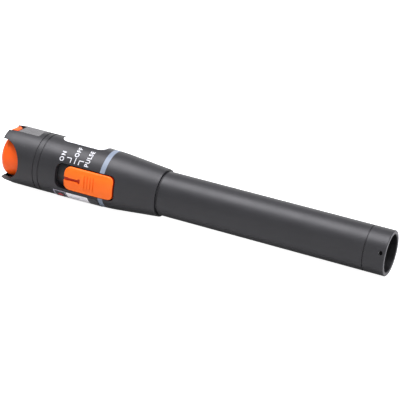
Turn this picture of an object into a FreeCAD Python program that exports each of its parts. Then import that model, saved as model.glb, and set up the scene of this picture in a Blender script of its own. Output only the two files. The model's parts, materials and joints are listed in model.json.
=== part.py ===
import FreeCAD, Part
import math
import os
import re
import Sketcher

# Pen-type visual fault locator: a red laser in an aluminium pen, with a flip lid over its fibre
# port, a three-position slide switch and two AA cells in the barrel.
#
# The pen lies on its side. +X points to the tail, +Z is up through the flat that the lid's hinge
# sits in, and the switch faces -Y. The origin is the centre of the bounding box's bottom face; the
# button stands proud on one side only, so the pen's axis lies half that rise to its other side.
# Inside each body the local origin is the centre of the tail rim, so a place along the pen is a
# station, in millimetres from that rim, and local x is minus the station.

doc = FreeCAD.newDocument("FaultLocator")
sheet = doc.addObject("Spreadsheet::Sheet", "Sizes")

# ---------------------------------------------------------------------------
# Driving dimensions, in millimetres and degrees.
# ---------------------------------------------------------------------------
DRIVING = {
    # cells and the barrel round them
    "cell_radius": 7.25,
    "cell_length": 50.5,
    "nub_radius": 2.75,
    "nub_height": 1.0,
    "cell_clearance": 0.75,
    "barrel_wall": 1.6,
    "thread_gap": 0.05,
    "thread_wall": 1.0,
    "spigot_wall": 0.85,
    "front_spigot": 7.6,
    "contact_inset": 15.6,
    # tail cap, its seal, contact plate and spring
    "cap_length": 9.0,
    "cap_floor": 2.1,
    "recess_depth": 7.3,
    "recess_wall": 1.65,
    "tail_spigot": 5.4,
    "pocket_radius": 6.6,
    "seal_section": 0.45,
    "seal_groove": 1.1,
    "edge_break": 0.3,
    "tail_line_width": 0.36,
    "tail_line_depth": 0.4,
    "strap_radius": 0.9,
    "strap_station": 2.0,
    "strap_angle": 16.5,
    "plate_thickness": 0.4,
    "spring_length": 5.8,
    "spring_wire": 0.35,
    "spring_radius": 5.0,
    "spring_turns": 4.0,
    # head shell
    "head_length": 57.6,
    "head_wall": 2.4,
    "neck_step": 0.8,
    "cone_length": 18.5,
    "cone_rise": 1.73,
    "blend_length": 10.0,
    "crown_rise": 0.2,
    "joint_line_width": 0.7,
    "joint_line_depth": 0.5,
    "line_width": 0.45,
    "line_depth": 0.35,
    "line_inset": 2.2,
    "socket_end_gap": 0.4,
    "throat_length": 4.0,
    "throat_clearance": 0.4,
    "window_inset": 10.8,
    "window_length": 27.9,
    "window_width": 11.3,
    "window_corner": 2.6,
    # slide switch
    "switch_pitch": 2.1,
    "button_gap": 0.3,
    "button_rise": 0.5,
    "button_crest": 0.4,
    "button_corner": 2.6,
    "button_bevel": 0.45,
    "shutter_wall": 0.9,
    "shutter_gap": 0.3,
    "shutter_spread": 40.0,
    "shutter_overlap": 5.6,
    "peg_radius": 1.0,
    "peg_spacing": 12.0,
    "switch_length": 12.0,
    "switch_width": 4.4,
    "switch_height": 3.5,
    "lever_size": 1.5,
    "crest_inset": 6.3,
    "pointer_length": 7.6,
    "pointer_taper": 2.2,
    "pointer_half_width": 0.95,
    "pointer_stem": 0.4,
    "pointer_bar": 0.7,
    "pointer_depth": 0.4,
    "grip_inset": 7.2,
    "grip_pitch": 1.0,
    "grip_width": 0.45,
    "grip_half_length": 3.4,
    "grip_depth": 0.45,
    # crown
    "crown_length": 18.2,
    "crown_wall": 2.0,
    "crown_spigot": 4.2,
    "crown_rear_wall": 1.75,
    "front_depth": 10.8,
    "web_thickness": 3.0,
    "rim_taper": 5.0,
    "rim_drop": 0.45,
    "rim_break": 0.4,
    "notch_radius": 8.9,
    "notch_inset": 1.6,
    "flat_depth": 0.7,
    "flat_length": 15.3,
    "slot_width": 8.0,
    "slot_length": 4.9,
    # lid and its hinge
    "pin_radius": 0.55,
    "pin_fit": 0.04,
    "pin_inset": 2.2,
    "pin_below_flat": 1.5,
    "pin_near_end": 5.2,
    "pin_far_end": 5.4,
    "knuckle_radius": 1.45,
    "knuckle_gap": 0.3,
    "scoop_radius": 2.9,
    "lid_gap": 1.1,
    "lid_rise": 2.6,
    "lid_wall": 1.4,
    "lid_dome": 5.1,
    "lid_corner": 3.0,
    "lid_skirt": 6.7,
    "lid_draft": 0.4,
    # fibre port
    "ferrule_radius": 1.25,
    "sleeve_wall": 0.4,
    "sleeve_length": 10.6,
    "sleeve_slit": 0.35,
    "sleeve_gap": 0.05,
    "port_tube_wall": 1.6,
    "port_rise": 3.8,
    "port_lip": 0.5,
    "flange_radius": 5.5,
    "flange_thickness": 1.5,
    "shank_radius": 3.95,
    "shank_length": 8.0,
    "light_path": 1.0,
    # laser module
    "module_radius": 6.5,
    "module_length": 14.5,
    "can_radius": 2.8,
    "can_flange": 1.2,
    "can_cap_radius": 1.8,
    "can_cap_height": 2.3,
    "can_inset": 0.5,
    "pin_circle": 1.2,
    "lead_radius": 0.225,
    "lead_length": 5.6,
    "lens_radius": 2.35,
    "lens_thickness": 2.0,
    "lens_inset": 7.0,
    "retainer_thickness": 1.0,
    "lens_bulge": 0.35,
    "retainer_bore": 1.55,
    # circuit board and what it sits on
    "sled_gap": 0.05,
    "sled_wall": 1.5,
    "sled_end": 2.2,
    "sled_relief": 6.7,
    "contact_head": 0.6,
    "contact_radius": 3.5,
    "contact_shank": 1.2,
    "board_back": 1.5,
    "board_thickness": 1.2,
    "board_length": 25.4,
    "board_margin": 0.7,
    "board_gap": 0.2,
    "screw_radius": 0.9,
    "screw_head": 1.7,
    "screw_head_height": 1.0,
    "screw_length": 4.5,
    "screw_spread": 6.6,
    "screw_inset": 2.9,
    "boss_radius": 1.6,
    "chip_length": 4.9,
    "chip_width": 3.9,
    "chip_height": 1.5,
    "capacitor_radius": 2.0,
    "capacitor_height": 3.2,
    "trimmer_size": 3.2,
    "trimmer_height": 1.8,
    "resistor_length": 1.6,
    "resistor_width": 0.8,
    "resistor_height": 0.5,
    "chip_offset": 10.5,
    "end_part_inset": 3.2,
    "capacitor_offset": 5.6,
    "trimmer_offset": 5.4,
    "resistor_offset": 5.6,
    "resistor_inset": 7.0,
    "resistor_pitch": 2.6,
    # adhesive labels on the head
    "label_thickness": 0.1,
    "label_gap": 0.05,
    "top_label_inset": 6.5,
    "top_label_length": 21.5,
    "top_label_near": 11.5,
    "top_label_spread": 70.0,
    "low_label_inset": 9.0,
    "low_label_length": 21.7,
    "low_label_near": 34.5,
    "low_label_spread": 48.0,
    # how far the outline of a cut runs past what it cuts
    "overrun": 1.0,
}

# ---------------------------------------------------------------------------
# Sizes and stations that follow from the driving dimensions.
# ---------------------------------------------------------------------------
DERIVED = {
    "barrel_bore": "cell_radius + cell_clearance",
    "barrel_radius": "barrel_bore + barrel_wall",
    "thread_bore": "barrel_radius - thread_wall",
    "tail_spigot_radius": "thread_bore - thread_gap",
    "seal_floor": "tail_spigot_radius - 2 * seal_section - thread_gap",
    "recess_radius": "barrel_radius - recess_wall",
    "plate_station": "recess_depth + cap_floor",
    "spring_station": "plate_station + plate_thickness",
    "cell_station": "spring_station + spring_length",
    "cell_middle": "cell_station + cell_length",
    "cell_end": "cell_middle + cell_length",
    "tail_spigot_end": "cap_length + tail_spigot",
    "tail_socket_end": "tail_spigot_end + socket_end_gap",
    "joint_station": "cell_end - contact_inset",
    "front_spigot_radius": "barrel_bore + spigot_wall",
    "front_spigot_end": "joint_station + front_spigot",
    "socket_radius": "front_spigot_radius + thread_gap",
    "socket_end": "front_spigot_end + socket_end_gap",
    "joint_floor": "barrel_radius - joint_line_depth",
    "neck_radius": "barrel_radius + neck_step",
    "cone_station": "joint_station + cone_length",
    "cone_radius": "neck_radius + cone_rise",
    "shoulder_station": "cone_station + blend_length",
    "shoulder_radius": "cone_radius + blend_length * cone_rise / cone_length / 2",
    "blend_radius": "blend_length * cone_length / cone_rise",
    "crown_radius": "shoulder_radius + crown_rise",
    "button_radius": "crown_radius + button_crest",
    "axis_offset": "button_crest / 2",
    "cavity_radius": "crown_radius - head_wall",
    "throat_radius": "cell_radius + cell_clearance + throat_clearance",
    "cavity_station": "socket_end + throat_length",
    "parting_station": "joint_station + head_length",
    "line_station": "parting_station - line_inset",
    "rim_station": "parting_station + crown_length",
    "overall_length": "rim_station + lid_rise",
    "window_head": "parting_station - window_inset",
    "window_tail": "window_head - window_length",
    "travel": "2 * switch_pitch",
    "button_tail": "window_tail + button_gap",
    "button_length": "window_length - 2 * button_gap - travel",
    "button_head": "button_tail + button_length",
    "button_middle": "button_tail + button_length / 2",
    "button_width": "window_width - 2 * button_gap",
    "switch_station": "button_middle + travel / 2",
    "shutter_radius": "cavity_radius - shutter_gap",
    "shutter_inner": "shutter_radius - shutter_wall",
    "shutter_tail": "button_tail - shutter_overlap",
    "shutter_head": "button_head + shutter_overlap",
    "crown_bore": "crown_radius - crown_wall",
    "crown_spigot_radius": "cavity_radius - thread_gap",
    "crown_rear_bore": "crown_spigot_radius - crown_rear_wall",
    "crown_spigot_end": "parting_station - crown_spigot",
    "web_front": "rim_station - front_depth",
    "web_rear": "web_front - web_thickness",
    "flat_height": "crown_radius - flat_depth",
    "flat_end": "rim_station - flat_length",
    "slot_end": "rim_station - slot_length",
    "pin_station": "rim_station - pin_inset",
    "pin_height": "flat_height - pin_below_flat",
    "lid_radius": "crown_bore - lid_gap",
    "lid_equator": "overall_length - lid_dome",
    "lid_back": "lid_equator - lid_skirt",
    "knuckle_width": "slot_width - 2 * knuckle_gap",
    "sleeve_radius": "ferrule_radius + sleeve_wall",
    "sleeve_bore": "sleeve_radius + sleeve_gap",
    "port_radius": "sleeve_bore + port_tube_wall",
    "port_front": "web_front + flange_thickness + port_rise",
    "sleeve_front": "port_front - port_lip",
    "sleeve_back": "sleeve_front - sleeve_length",
    "shank_back": "web_front - shank_length",
    "module_back": "web_rear - module_length",
    "can_back": "module_back + can_inset",
    "can_front": "can_back + can_flange",
    "lens_back": "web_rear - lens_inset - lens_thickness",
    "lens_front": "lens_back + lens_thickness",
    "sled_radius": "cavity_radius - sled_gap",
    "sled_inner": "sled_radius - sled_wall",
    "boss_depth": "sqrt(sled_radius ^ 2 - (screw_spread + boss_radius) ^ 2) - thread_gap",
    "sled_back": "cell_end + contact_head",
    "sled_step": "sled_back + sled_end",
    "board_station": "sled_step + board_gap",
    "board_end": "board_station + board_length",
    "board_front": "board_back + board_thickness",
    "board_half_width": "sled_radius - board_margin",
    "screw_station": "board_station + screw_inset",
    "switch_top": "board_front + switch_height",
    "top_label_end": "parting_station - top_label_inset",
    "top_label_start": "top_label_end - top_label_length",
    "low_label_end": "parting_station - low_label_inset",
    "low_label_start": "low_label_end - low_label_length",
}


def fill_sheet():
    """Write every size into the sheet: driving ones as numbers, the rest as formulas."""
    row = 1
    for group in (DRIVING, DERIVED):
        for alias, content in group.items():
            sheet.set(f"A{row}", alias)
            sheet.set(f"B{row}", str(content) if group is DRIVING else f"={content}")
            sheet.setAlias(f"B{row}", alias)
            row += 1
    doc.recompute()


fill_sheet()
ALIASES = sorted([*DRIVING, *DERIVED], key=len, reverse=True)
ALIAS_PATTERN = re.compile(r"\b(" + "|".join(ALIASES) + r")\b")


def bound(expression):
    """An expression in the sheet's own words, with each alias pointed at the sheet."""
    return ALIAS_PATTERN.sub(r"Sizes.\1", str(expression))


def value(expression):
    """The number that such an expression gives now."""
    return float(sheet.evalExpression(bound(expression)))


# ---------------------------------------------------------------------------
# Helpers: bodies, sketches and features.
# ---------------------------------------------------------------------------
SUBPARTS = []


def new_body(label):
    """A sub-part, placed so that its tail-rim origin sits on the pen's axis."""
    body = doc.addObject("PartDesign::Body", label)
    body.Label = label
    body.setExpression(".Placement.Base.x", bound("overall_length / 2"))
    body.setExpression(".Placement.Base.y", bound("axis_offset"))
    body.setExpression(".Placement.Base.z", bound("crown_radius"))
    SUBPARTS.append(body)
    return body


def new_sketch(body, name, plane, offset="0"):
    """A sketch on one of the body's own planes, moved along that plane's normal."""
    sketch = body.newObject("Sketcher::SketchObject", f"{body.Label}_{name}")
    origin_plane = next(o for o in body.Origin.OriginFeatures if o.Role == plane)
    sketch.AttachmentSupport = (origin_plane, [""])
    sketch.MapMode = "FlatFace"
    sketch.setExpression(".AttachmentOffset.Base.z", bound(offset))
    return sketch


def pin_point(sketch, geometry, vertex, x, y):
    """Hold a vertex at the two expressions x and y, measured from the sketch's origin."""
    for axis, expression, line in (("X", x, -2), ("Y", y, -1)):
        if str(expression) == "0":
            sketch.addConstraint(Sketcher.Constraint("PointOnObject", geometry, vertex, line))
            continue
        kind = f"Distance{axis}"
        index = sketch.addConstraint(
            Sketcher.Constraint(kind, -1, 1, geometry, vertex, value(expression))
        )
        name = f"{axis}_{geometry}_{vertex}"
        sketch.renameConstraint(index, name)
        sketch.setExpression(f"Constraints.{name}", bound(expression))


def bind_radius(sketch, geometry, radius):
    """Hold a circle's or an arc's radius at an expression."""
    index = sketch.addConstraint(Sketcher.Constraint("Radius", geometry, value(radius)))
    name = f"R_{geometry}"
    sketch.renameConstraint(index, name)
    sketch.setExpression(f"Constraints.{name}", bound(radius))


def outline(sketch, corners):
    """A closed outline. A corner is (x, y), or (x, y, radius, turn) where an arc leaves it.

    turn is +1 for an arc that runs counter-clockwise to the next corner and -1 for clockwise.
    """
    base = sketch.GeometryCount
    count = len(corners)
    ends = []
    for index, corner in enumerate(corners):
        following = corners[(index + 1) % count]
        start = FreeCAD.Vector(value(corner[0]), value(corner[1]), 0)
        finish = FreeCAD.Vector(value(following[0]), value(following[1]), 0)
        if len(corner) == 2:
            sketch.addGeometry(Part.LineSegment(start, finish), False)
            ends.append((1, 2))
            continue
        radius, turn = value(corner[2]), corner[3]
        chord = finish - start
        half = chord.Length / 2
        rise = math.sqrt(max(radius**2 - half**2, 0.0))
        normal = FreeCAD.Vector(-chord.y, chord.x, 0).normalize()
        centre = start + chord * 0.5 + normal * rise * turn
        first, last = (start, finish) if turn > 0 else (finish, start)
        angles = [math.atan2(p.y - centre.y, p.x - centre.x) for p in (first, last)]
        if angles[1] <= angles[0]:
            angles[1] += 2 * math.pi
        circle = Part.Circle(centre, FreeCAD.Vector(0, 0, 1), radius)
        sketch.addGeometry(Part.ArcOfCircle(circle, angles[0], angles[1]), False)
        ends.append((1, 2) if turn > 0 else (2, 1))
    for index, corner in enumerate(corners):
        following = (index + 1) % count
        last, first = ends[index][1], ends[following][0]
        sketch.addConstraint(
            Sketcher.Constraint("Coincident", base + index, last, base + following, first)
        )
        pin_point(sketch, base + index, ends[index][0], corner[0], corner[1])
        if len(corner) == 4:
            bind_radius(sketch, base + index, corner[2])


def circle(sketch, x, y, radius):
    """A circle held at x, y."""
    centre = FreeCAD.Vector(value(x), value(y), 0)
    shape = Part.Circle(centre, FreeCAD.Vector(0, 0, 1), value(radius))
    geometry = sketch.addGeometry(shape, False)
    pin_point(sketch, geometry, 3, x, y)
    bind_radius(sketch, geometry, radius)


def rectangle(sketch, x0, x1, y0, y1):
    """A rectangle between two x and two y expressions."""
    outline(sketch, [(x0, y0), (x1, y0), (x1, y1), (x0, y1)])


def rounded_rectangle(sketch, x0, x1, y0, y1, radius):
    """A rectangle whose corners are quarter circles."""
    corners = [
        (f"{x0} + {radius}", y0),
        (f"{x1} - {radius}", y0, radius, 1),
        (x1, f"{y0} + {radius}"),
        (x1, f"{y1} - {radius}", radius, 1),
        (f"{x1} - {radius}", y1),
        (f"{x0} + {radius}", y1, radius, 1),
        (x0, f"{y1} - {radius}"),
        (x0, f"{y0} + {radius}", radius, 1),
    ]
    outline(sketch, corners)


def at(station):
    """Local x of a station: the tail rim is 0 and the crown is at minus its distance."""
    return f"-({station})"


def tilt(sketch, angle):
    """Turn a sketch about the pen's axis, from +Z towards -Y, by an angle in degrees."""
    sketch.AttachmentOffset = FreeCAD.Placement(
        sketch.AttachmentOffset.Base, FreeCAD.Rotation(FreeCAD.Vector(1, 0, 0), value(angle))
    )
    sketch.setExpression(".AttachmentOffset.Rotation.Angle", bound(angle))


def section(body, name, points):
    """A half-section sketch from (station, radius) points, for turned parts."""
    sketch = new_sketch(body, name, "XZ_Plane")
    outline(sketch, [(at(point[0]), *point[1:]) for point in points])
    return sketch


def turn(body, name, points):
    """Revolve a half-section right round the pen's axis."""
    feature = body.newObject("PartDesign::Revolution", f"{body.Label}_{name}")
    sketch = section(body, f"{name}_section", points)
    feature.Profile = sketch
    feature.ReferenceAxis = (sketch, ["H_Axis"])
    feature.Angle = 360
    return feature


def sector(body, name, points, spread, centre):
    """Revolve a half-section through a spread, centred so far round from +Z towards -Y."""
    feature = body.newObject("PartDesign::Revolution", f"{body.Label}_{name}")
    sketch = section(body, f"{name}_section", points)
    tilt(sketch, centre)
    feature.Profile = sketch
    feature.ReferenceAxis = (sketch, ["H_Axis"])
    feature.setExpression("Angle", bound(spread))
    feature.Midplane = True
    return feature


def turn_away(body, name, points):
    """Cut a revolved groove about the pen's axis."""
    feature = body.newObject("PartDesign::Groove", f"{body.Label}_{name}")
    sketch = section(body, f"{name}_section", points)
    feature.Profile = sketch
    feature.ReferenceAxis = (sketch, ["H_Axis"])
    feature.Angle = 360
    return feature


def pad(body, name, sketch, length, both=False, back=False):
    """Pad a sketch along its normal, to both sides of it, or back from it."""
    feature = body.newObject("PartDesign::Pad", f"{body.Label}_{name}")
    feature.Profile = sketch
    feature.setExpression("Length", bound(length))
    feature.Midplane = both
    feature.Reversed = back
    return feature


def pocket(body, name, sketch, length=None, both=False, forward=False):
    """Cut a sketch away: against its normal, to both sides, or forward along its normal."""
    feature = body.newObject("PartDesign::Pocket", f"{body.Label}_{name}")
    feature.Profile = sketch
    if length is None:
        feature.Type = "ThroughAll"
    else:
        feature.setExpression("Length", bound(length))
    feature.Midplane = both
    feature.Reversed = forward
    doc.recompute()
    return feature


def whole_ring(body, name, start, end, outer, inner):
    """A plain turned ring, or a disc when inner is 0."""
    return turn(body, name, [(start, outer), (end, outer), (end, inner), (start, inner)])


# ---------------------------------------------------------------------------
# Tail: cap, seal, contact plate and spring.
# ---------------------------------------------------------------------------
def tail_cap():
    """The screwed tail cap: an open cup behind, a threaded spigot in front."""
    body = new_body("tail_cap")
    line_start = "cap_length - tail_line_width / 2"
    line_floor = "barrel_radius - tail_line_depth"
    groove_end = "cap_length + seal_groove"
    turn(
        body,
        "cup",
        [
            ("0", "barrel_radius - edge_break"),
            ("edge_break", "barrel_radius"),
            (line_start, "barrel_radius"),
            (line_start, line_floor),
            ("cap_length", line_floor),
            ("cap_length", "seal_floor"),
            (groove_end, "seal_floor"),
            (groove_end, "tail_spigot_radius"),
            ("tail_spigot_end - edge_break", "tail_spigot_radius"),
            ("tail_spigot_end", "tail_spigot_radius - edge_break"),
            ("tail_spigot_end", "pocket_radius"),
            ("plate_station", "pocket_radius"),
            ("plate_station", "0"),
            ("recess_depth", "0"),
            ("recess_depth", "recess_radius"),
            ("edge_break", "recess_radius"),
            ("0", "recess_radius + edge_break"),
        ],
    )
    hole = new_sketch(body, "strap_circle", "XZ_Plane")
    tilt(hole, "360 - strap_angle")
    circle(hole, at("strap_station"), "0", "strap_radius")
    pocket(body, "strap_hole", hole, "barrel_radius + edge_break", forward=True)
    return body


def tail_seal():
    """O-ring at the root of the cap's spigot."""
    body = new_body("tail_seal_ring")
    sketch = new_sketch(body, "ring_circle", "XZ_Plane")
    centre = "seal_floor + thread_gap + seal_section"
    circle(sketch, at("cap_length + seal_groove / 2"), centre, "seal_section")
    feature = body.newObject("PartDesign::Revolution", "tail_seal_ring_turn")
    feature.Profile = sketch
    feature.ReferenceAxis = (sketch, ["H_Axis"])
    feature.Angle = 360
    return body


def tail_plate():
    """Contact disc on the floor of the cap's pocket."""
    body = new_body("tail_contact_plate")
    whole_ring(body, "disc", "plate_station", "spring_station", "pocket_radius - thread_gap", "0")
    return body


def tail_spring():
    """Coil spring between the contact plate and the rear cell."""
    body = new_body("tail_spring")
    sketch = new_sketch(body, "wire_circle", "XZ_Plane")
    circle(sketch, at("spring_station + spring_wire"), "spring_radius", "spring_wire")
    coil = body.newObject("PartDesign::AdditiveHelix", "tail_spring_coil")
    coil.Profile = sketch
    coil.ReferenceAxis = (sketch, ["H_Axis"])
    coil.Mode = "height-turns-angle"
    coil.setExpression("Height", bound("spring_length - 2 * spring_wire"))
    coil.setExpression("Turns", bound("spring_turns"))
    coil.Angle = 0
    coil.Reversed = True
    return body


# ---------------------------------------------------------------------------
# Barrel and cells.
# ---------------------------------------------------------------------------
def barrel_tube():
    """The battery barrel: a thin tube with a female thread behind and a spigot in front."""
    body = new_body("barrel_tube")
    tail_line_end = "cap_length + tail_line_width / 2"
    tail_line_floor = "barrel_radius - tail_line_depth"
    joint_line_start = "joint_station - joint_line_width / 2"
    turn(
        body,
        "tube",
        [
            ("cap_length", "thread_bore"),
            ("cap_length", tail_line_floor),
            (tail_line_end, tail_line_floor),
            (tail_line_end, "barrel_radius"),
            (joint_line_start, "barrel_radius"),
            (joint_line_start, "joint_floor"),
            ("joint_station", "joint_floor"),
            ("joint_station", "front_spigot_radius"),
            ("front_spigot_end", "front_spigot_radius"),
            ("front_spigot_end", "barrel_bore"),
            ("tail_socket_end", "barrel_bore"),
            ("tail_socket_end", "thread_bore"),
        ],
    )
    return body


def cell(label, start):
    """An AA cell, resting on the bottom of the barrel's bore, positive end to the head."""
    body = new_body(label)
    body.setExpression(".Placement.Base.z", bound("crown_radius - cell_clearance + thread_gap"))
    end = f"{start} + cell_length"
    shoulder = f"{end} - nub_height"
    turn(
        body,
        "can",
        [
            (start, "0"),
            (start, "cell_radius - edge_break"),
            (f"{start} + edge_break", "cell_radius"),
            (f"{shoulder} - edge_break", "cell_radius"),
            (shoulder, "cell_radius - edge_break"),
            (shoulder, "nub_radius"),
            (end, "nub_radius"),
            (end, "0"),
        ],
    )
    return body


# ---------------------------------------------------------------------------
# Head shell and crown.
# ---------------------------------------------------------------------------
def head_shell():
    """The flared head: a cone that blends into a near-cylinder, with the switch window."""
    body = new_body("head_shell")
    line_tail = "line_station - line_width / 2"
    line_head = "line_station + line_width / 2"
    line_floor = "crown_radius - line_depth"
    joint_line_end = "joint_station + joint_line_width / 2"
    turn(
        body,
        "shell",
        [
            (joint_line_end, "neck_radius"),
            ("cone_station", "cone_radius", "blend_radius", 1),
            ("shoulder_station", "shoulder_radius"),
            (line_tail, "crown_radius"),
            (line_tail, line_floor),
            (line_head, line_floor),
            (line_head, "crown_radius"),
            ("parting_station", "crown_radius"),
            ("parting_station", "cavity_radius"),
            ("cavity_station", "cavity_radius"),
            ("cavity_station", "throat_radius"),
            ("socket_end", "throat_radius"),
            ("socket_end", "socket_radius"),
            ("joint_station", "socket_radius"),
            ("joint_station", "joint_floor"),
            (joint_line_end, "joint_floor"),
        ],
    )
    window = new_sketch(body, "window_outline", "XZ_Plane", "cavity_radius / 2")
    rounded_rectangle(
        window,
        at("window_head"),
        at("window_tail"),
        "-window_width / 2",
        "window_width / 2",
        "window_corner",
    )
    pocket(body, "window", window, "crown_radius", forward=True)
    return body


def crown():
    """The crown: two prongs that guard the lid, a web that carries the port, a rear spigot."""
    body = new_body("crown")
    relief_end = "parting_station + line_width"
    taper_start = "rim_station - rim_taper"
    turn(
        body,
        "turning",
        [
            ("parting_station", "crown_radius - line_depth"),
            (relief_end, "crown_radius - line_depth"),
            (relief_end, "crown_radius"),
            (taper_start, "crown_radius"),
            ("rim_station - rim_break", "crown_radius - rim_drop"),
            ("rim_station", "crown_radius - rim_drop - rim_break"),
            ("rim_station", "crown_bore + rim_break"),
            ("rim_station - rim_break", "crown_bore"),
            ("web_front", "crown_bore"),
            ("web_front", "shank_radius + thread_gap"),
            ("web_rear", "shank_radius + thread_gap"),
            ("web_rear", "crown_rear_bore"),
            ("crown_spigot_end", "crown_rear_bore"),
            ("crown_spigot_end", "crown_spigot_radius"),
            ("parting_station", "crown_spigot_radius"),
        ],
    )
    # a U-shaped notch on each side, cut straight through along Y
    notch = new_sketch(body, "notch_outline", "XZ_Plane")
    front = at("rim_station + notch_radius")
    back = at("rim_station - notch_inset")
    middle = at("rim_station - notch_inset - notch_radius")
    outline(
        notch,
        [
            (front, "notch_radius"),
            (front, "-notch_radius"),
            (back, "-notch_radius", "notch_radius", 1),
            (middle, "0", "notch_radius", 1),
            (back, "notch_radius"),
        ],
    )
    pocket(body, "notches", notch, both=True)
    # the flat on top, from the rim back
    flat = new_sketch(body, "flat_outline", "XZ_Plane")
    rectangle(flat, front, at("flat_end"), "flat_height", "flat_height + crown_radius")
    pocket(body, "flat", flat, both=True)
    # the hinge slot, open to the front and through the prong
    slot = new_sketch(body, "slot_outline", "XY_Plane", "crown_radius / 2")
    rectangle(slot, front, at("slot_end"), "-slot_width / 2", "slot_width / 2")
    pocket(body, "hinge_slot", slot, "crown_radius", forward=True)
    # the pin's hole, drilled from the far side and blind in the near ear
    drill = new_sketch(body, "pin_circle", "XZ_Plane", "pin_near_end")
    circle(drill, at("pin_station"), "pin_height", "pin_radius + pin_fit")
    pocket(body, "pin_hole", drill, "pin_near_end + crown_radius")
    return body


def hinge_pin():
    """The lid's pin, pressed into the far ear."""
    body = new_body("hinge_pin")
    sketch = new_sketch(body, "circle", "XZ_Plane", "pin_near_end")
    circle(sketch, at("pin_station"), "pin_height", "pin_radius")
    pad(body, "rod", sketch, "pin_near_end + pin_far_end", back=True)
    return body


def dust_lid():
    """The flip lid: a thin dome on a short skirt, with a hinge knuckle at its top."""
    body = new_body("dust_lid")
    inner_radius = "lid_radius - lid_wall"
    inner_dome = "lid_dome - lid_wall"
    inner_corner = "lid_corner - lid_wall"
    # each dome is a corner arc and a flatter front arc that meet in line
    front_arc = front_arc_radius("lid_radius", "lid_dome", "lid_corner")
    inner_arc = front_arc_radius(inner_radius, inner_dome, inner_corner)
    outer_meet = meeting_point("lid_radius", "lid_dome", "lid_corner", front_arc)
    inner_meet = meeting_point(inner_radius, inner_dome, inner_corner, inner_arc)
    turn(
        body,
        "dome",
        [
            ("lid_back", "lid_radius - lid_draft"),
            ("lid_equator", "lid_radius", "lid_corner", 1),
            (*outer_meet, front_arc, 1),
            ("overall_length", "0"),
            ("overall_length - lid_wall", "0", inner_arc, -1),
            (*inner_meet, inner_corner, -1),
            ("lid_equator", inner_radius),
            ("lid_back", "lid_radius - lid_draft - lid_wall"),
        ],
    )
    # scoops beside the knuckle let the lid swing past the prong's front corners
    half_knuckle = "knuckle_width / 2"
    for side, offset, forward in (
        ("near", half_knuckle, True),
        ("far", f"-({half_knuckle})", False),
    ):
        scoop = new_sketch(body, f"{side}_scoop_circle", "XZ_Plane", offset)
        circle(scoop, at("pin_station"), "pin_height", "scoop_radius")
        pocket(body, f"{side}_scoop", scoop, "lid_radius", forward=forward)
    arm = new_sketch(body, "arm_outline", "XZ_Plane")
    rectangle(
        arm,
        at("pin_station + knuckle_radius"),
        at("pin_station - knuckle_radius"),
        "lid_radius - lid_wall / 2",
        "pin_height",
    )
    pad(body, "arm", arm, "knuckle_width", both=True)
    knuckle = new_sketch(body, "knuckle_circle", "XZ_Plane")
    circle(knuckle, at("pin_station"), "pin_height", "knuckle_radius")
    pad(body, "knuckle", knuckle, "knuckle_width", both=True)
    bore = new_sketch(body, "bore_circle", "XZ_Plane")
    circle(bore, at("pin_station"), "pin_height", "pin_radius + pin_fit")
    pocket(body, "bore", bore, both=True)
    return body


def front_arc_radius(radius, dome, corner):
    """Radius of the front arc of a dome of this radius and height, tangent to its corner arc."""
    run = f"({radius} - ({corner}))"
    reach = f"({dome} - ({corner}))"
    return f"({run} * {run} + {reach} * {reach}) / (2 * {reach}) + {corner}"


def meeting_point(radius, dome, corner, front_arc):
    """Where a dome's corner arc and front arc meet, as a station and a radius."""
    reach = f"(({front_arc}) / ({front_arc} - ({corner})))"
    centre = f"(lid_equator + {dome} - ({front_arc}))"
    station = f"{centre} + (lid_equator - {centre}) * {reach}"
    return station, f"({radius} - ({corner})) * {reach}"


# ---------------------------------------------------------------------------
# Fibre port and laser module.
# ---------------------------------------------------------------------------
def port_fitting():
    """The metal port: a tube for the ferrule sleeve, a flange and a threaded shank."""
    body = new_body("port_fitting")
    flange_front = "web_front + flange_thickness"
    turn(
        body,
        "turning",
        [
            ("shank_back", "shank_radius"),
            ("web_front", "shank_radius"),
            ("web_front", "flange_radius"),
            (f"{flange_front} - edge_break", "flange_radius"),
            (flange_front, "flange_radius - edge_break"),
            (flange_front, "port_radius"),
            ("port_front - edge_break", "port_radius"),
            ("port_front", "port_radius - edge_break"),
            ("port_front", "ferrule_radius + sleeve_gap + edge_break"),
            ("sleeve_front", "ferrule_radius + sleeve_gap"),
            ("sleeve_front", "sleeve_bore"),
            ("sleeve_back", "sleeve_bore"),
            ("sleeve_back", "light_path"),
            ("shank_back", "light_path"),
        ],
    )
    return body


def ferrule_sleeve():
    """The split ceramic sleeve that grips a 2.5 mm ferrule."""
    body = new_body("ferrule_sleeve")
    whole_ring(body, "tube", "sleeve_back", "sleeve_front", "sleeve_radius", "ferrule_radius")
    slit = new_sketch(body, "slit_outline", "XY_Plane")
    front, back = at("sleeve_front + overrun"), at("sleeve_back - overrun")
    rectangle(slit, front, back, "-sleeve_slit / 2", "sleeve_slit / 2")
    pocket(body, "slit", slit, forward=True)
    return body


def laser_module():
    """The brass module: a socket for the port's shank, a lens seat and a diode seat."""
    body = new_body("laser_module")
    socket = "shank_radius + thread_gap"
    socket_back = "shank_back - socket_end_gap"
    lens_seat = "lens_radius + sleeve_gap"
    turn(
        body,
        "turning",
        [
            ("module_back", "can_radius + sleeve_gap"),
            ("module_back", "module_radius"),
            ("web_rear", "module_radius"),
            ("web_rear", socket),
            (socket_back, socket),
            (socket_back, lens_seat),
            ("lens_back", lens_seat),
            ("lens_back", "can_cap_radius + sleeve_gap"),
            ("can_front", "can_cap_radius + sleeve_gap"),
            ("can_front", "can_radius + sleeve_gap"),
        ],
    )
    return body


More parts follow.
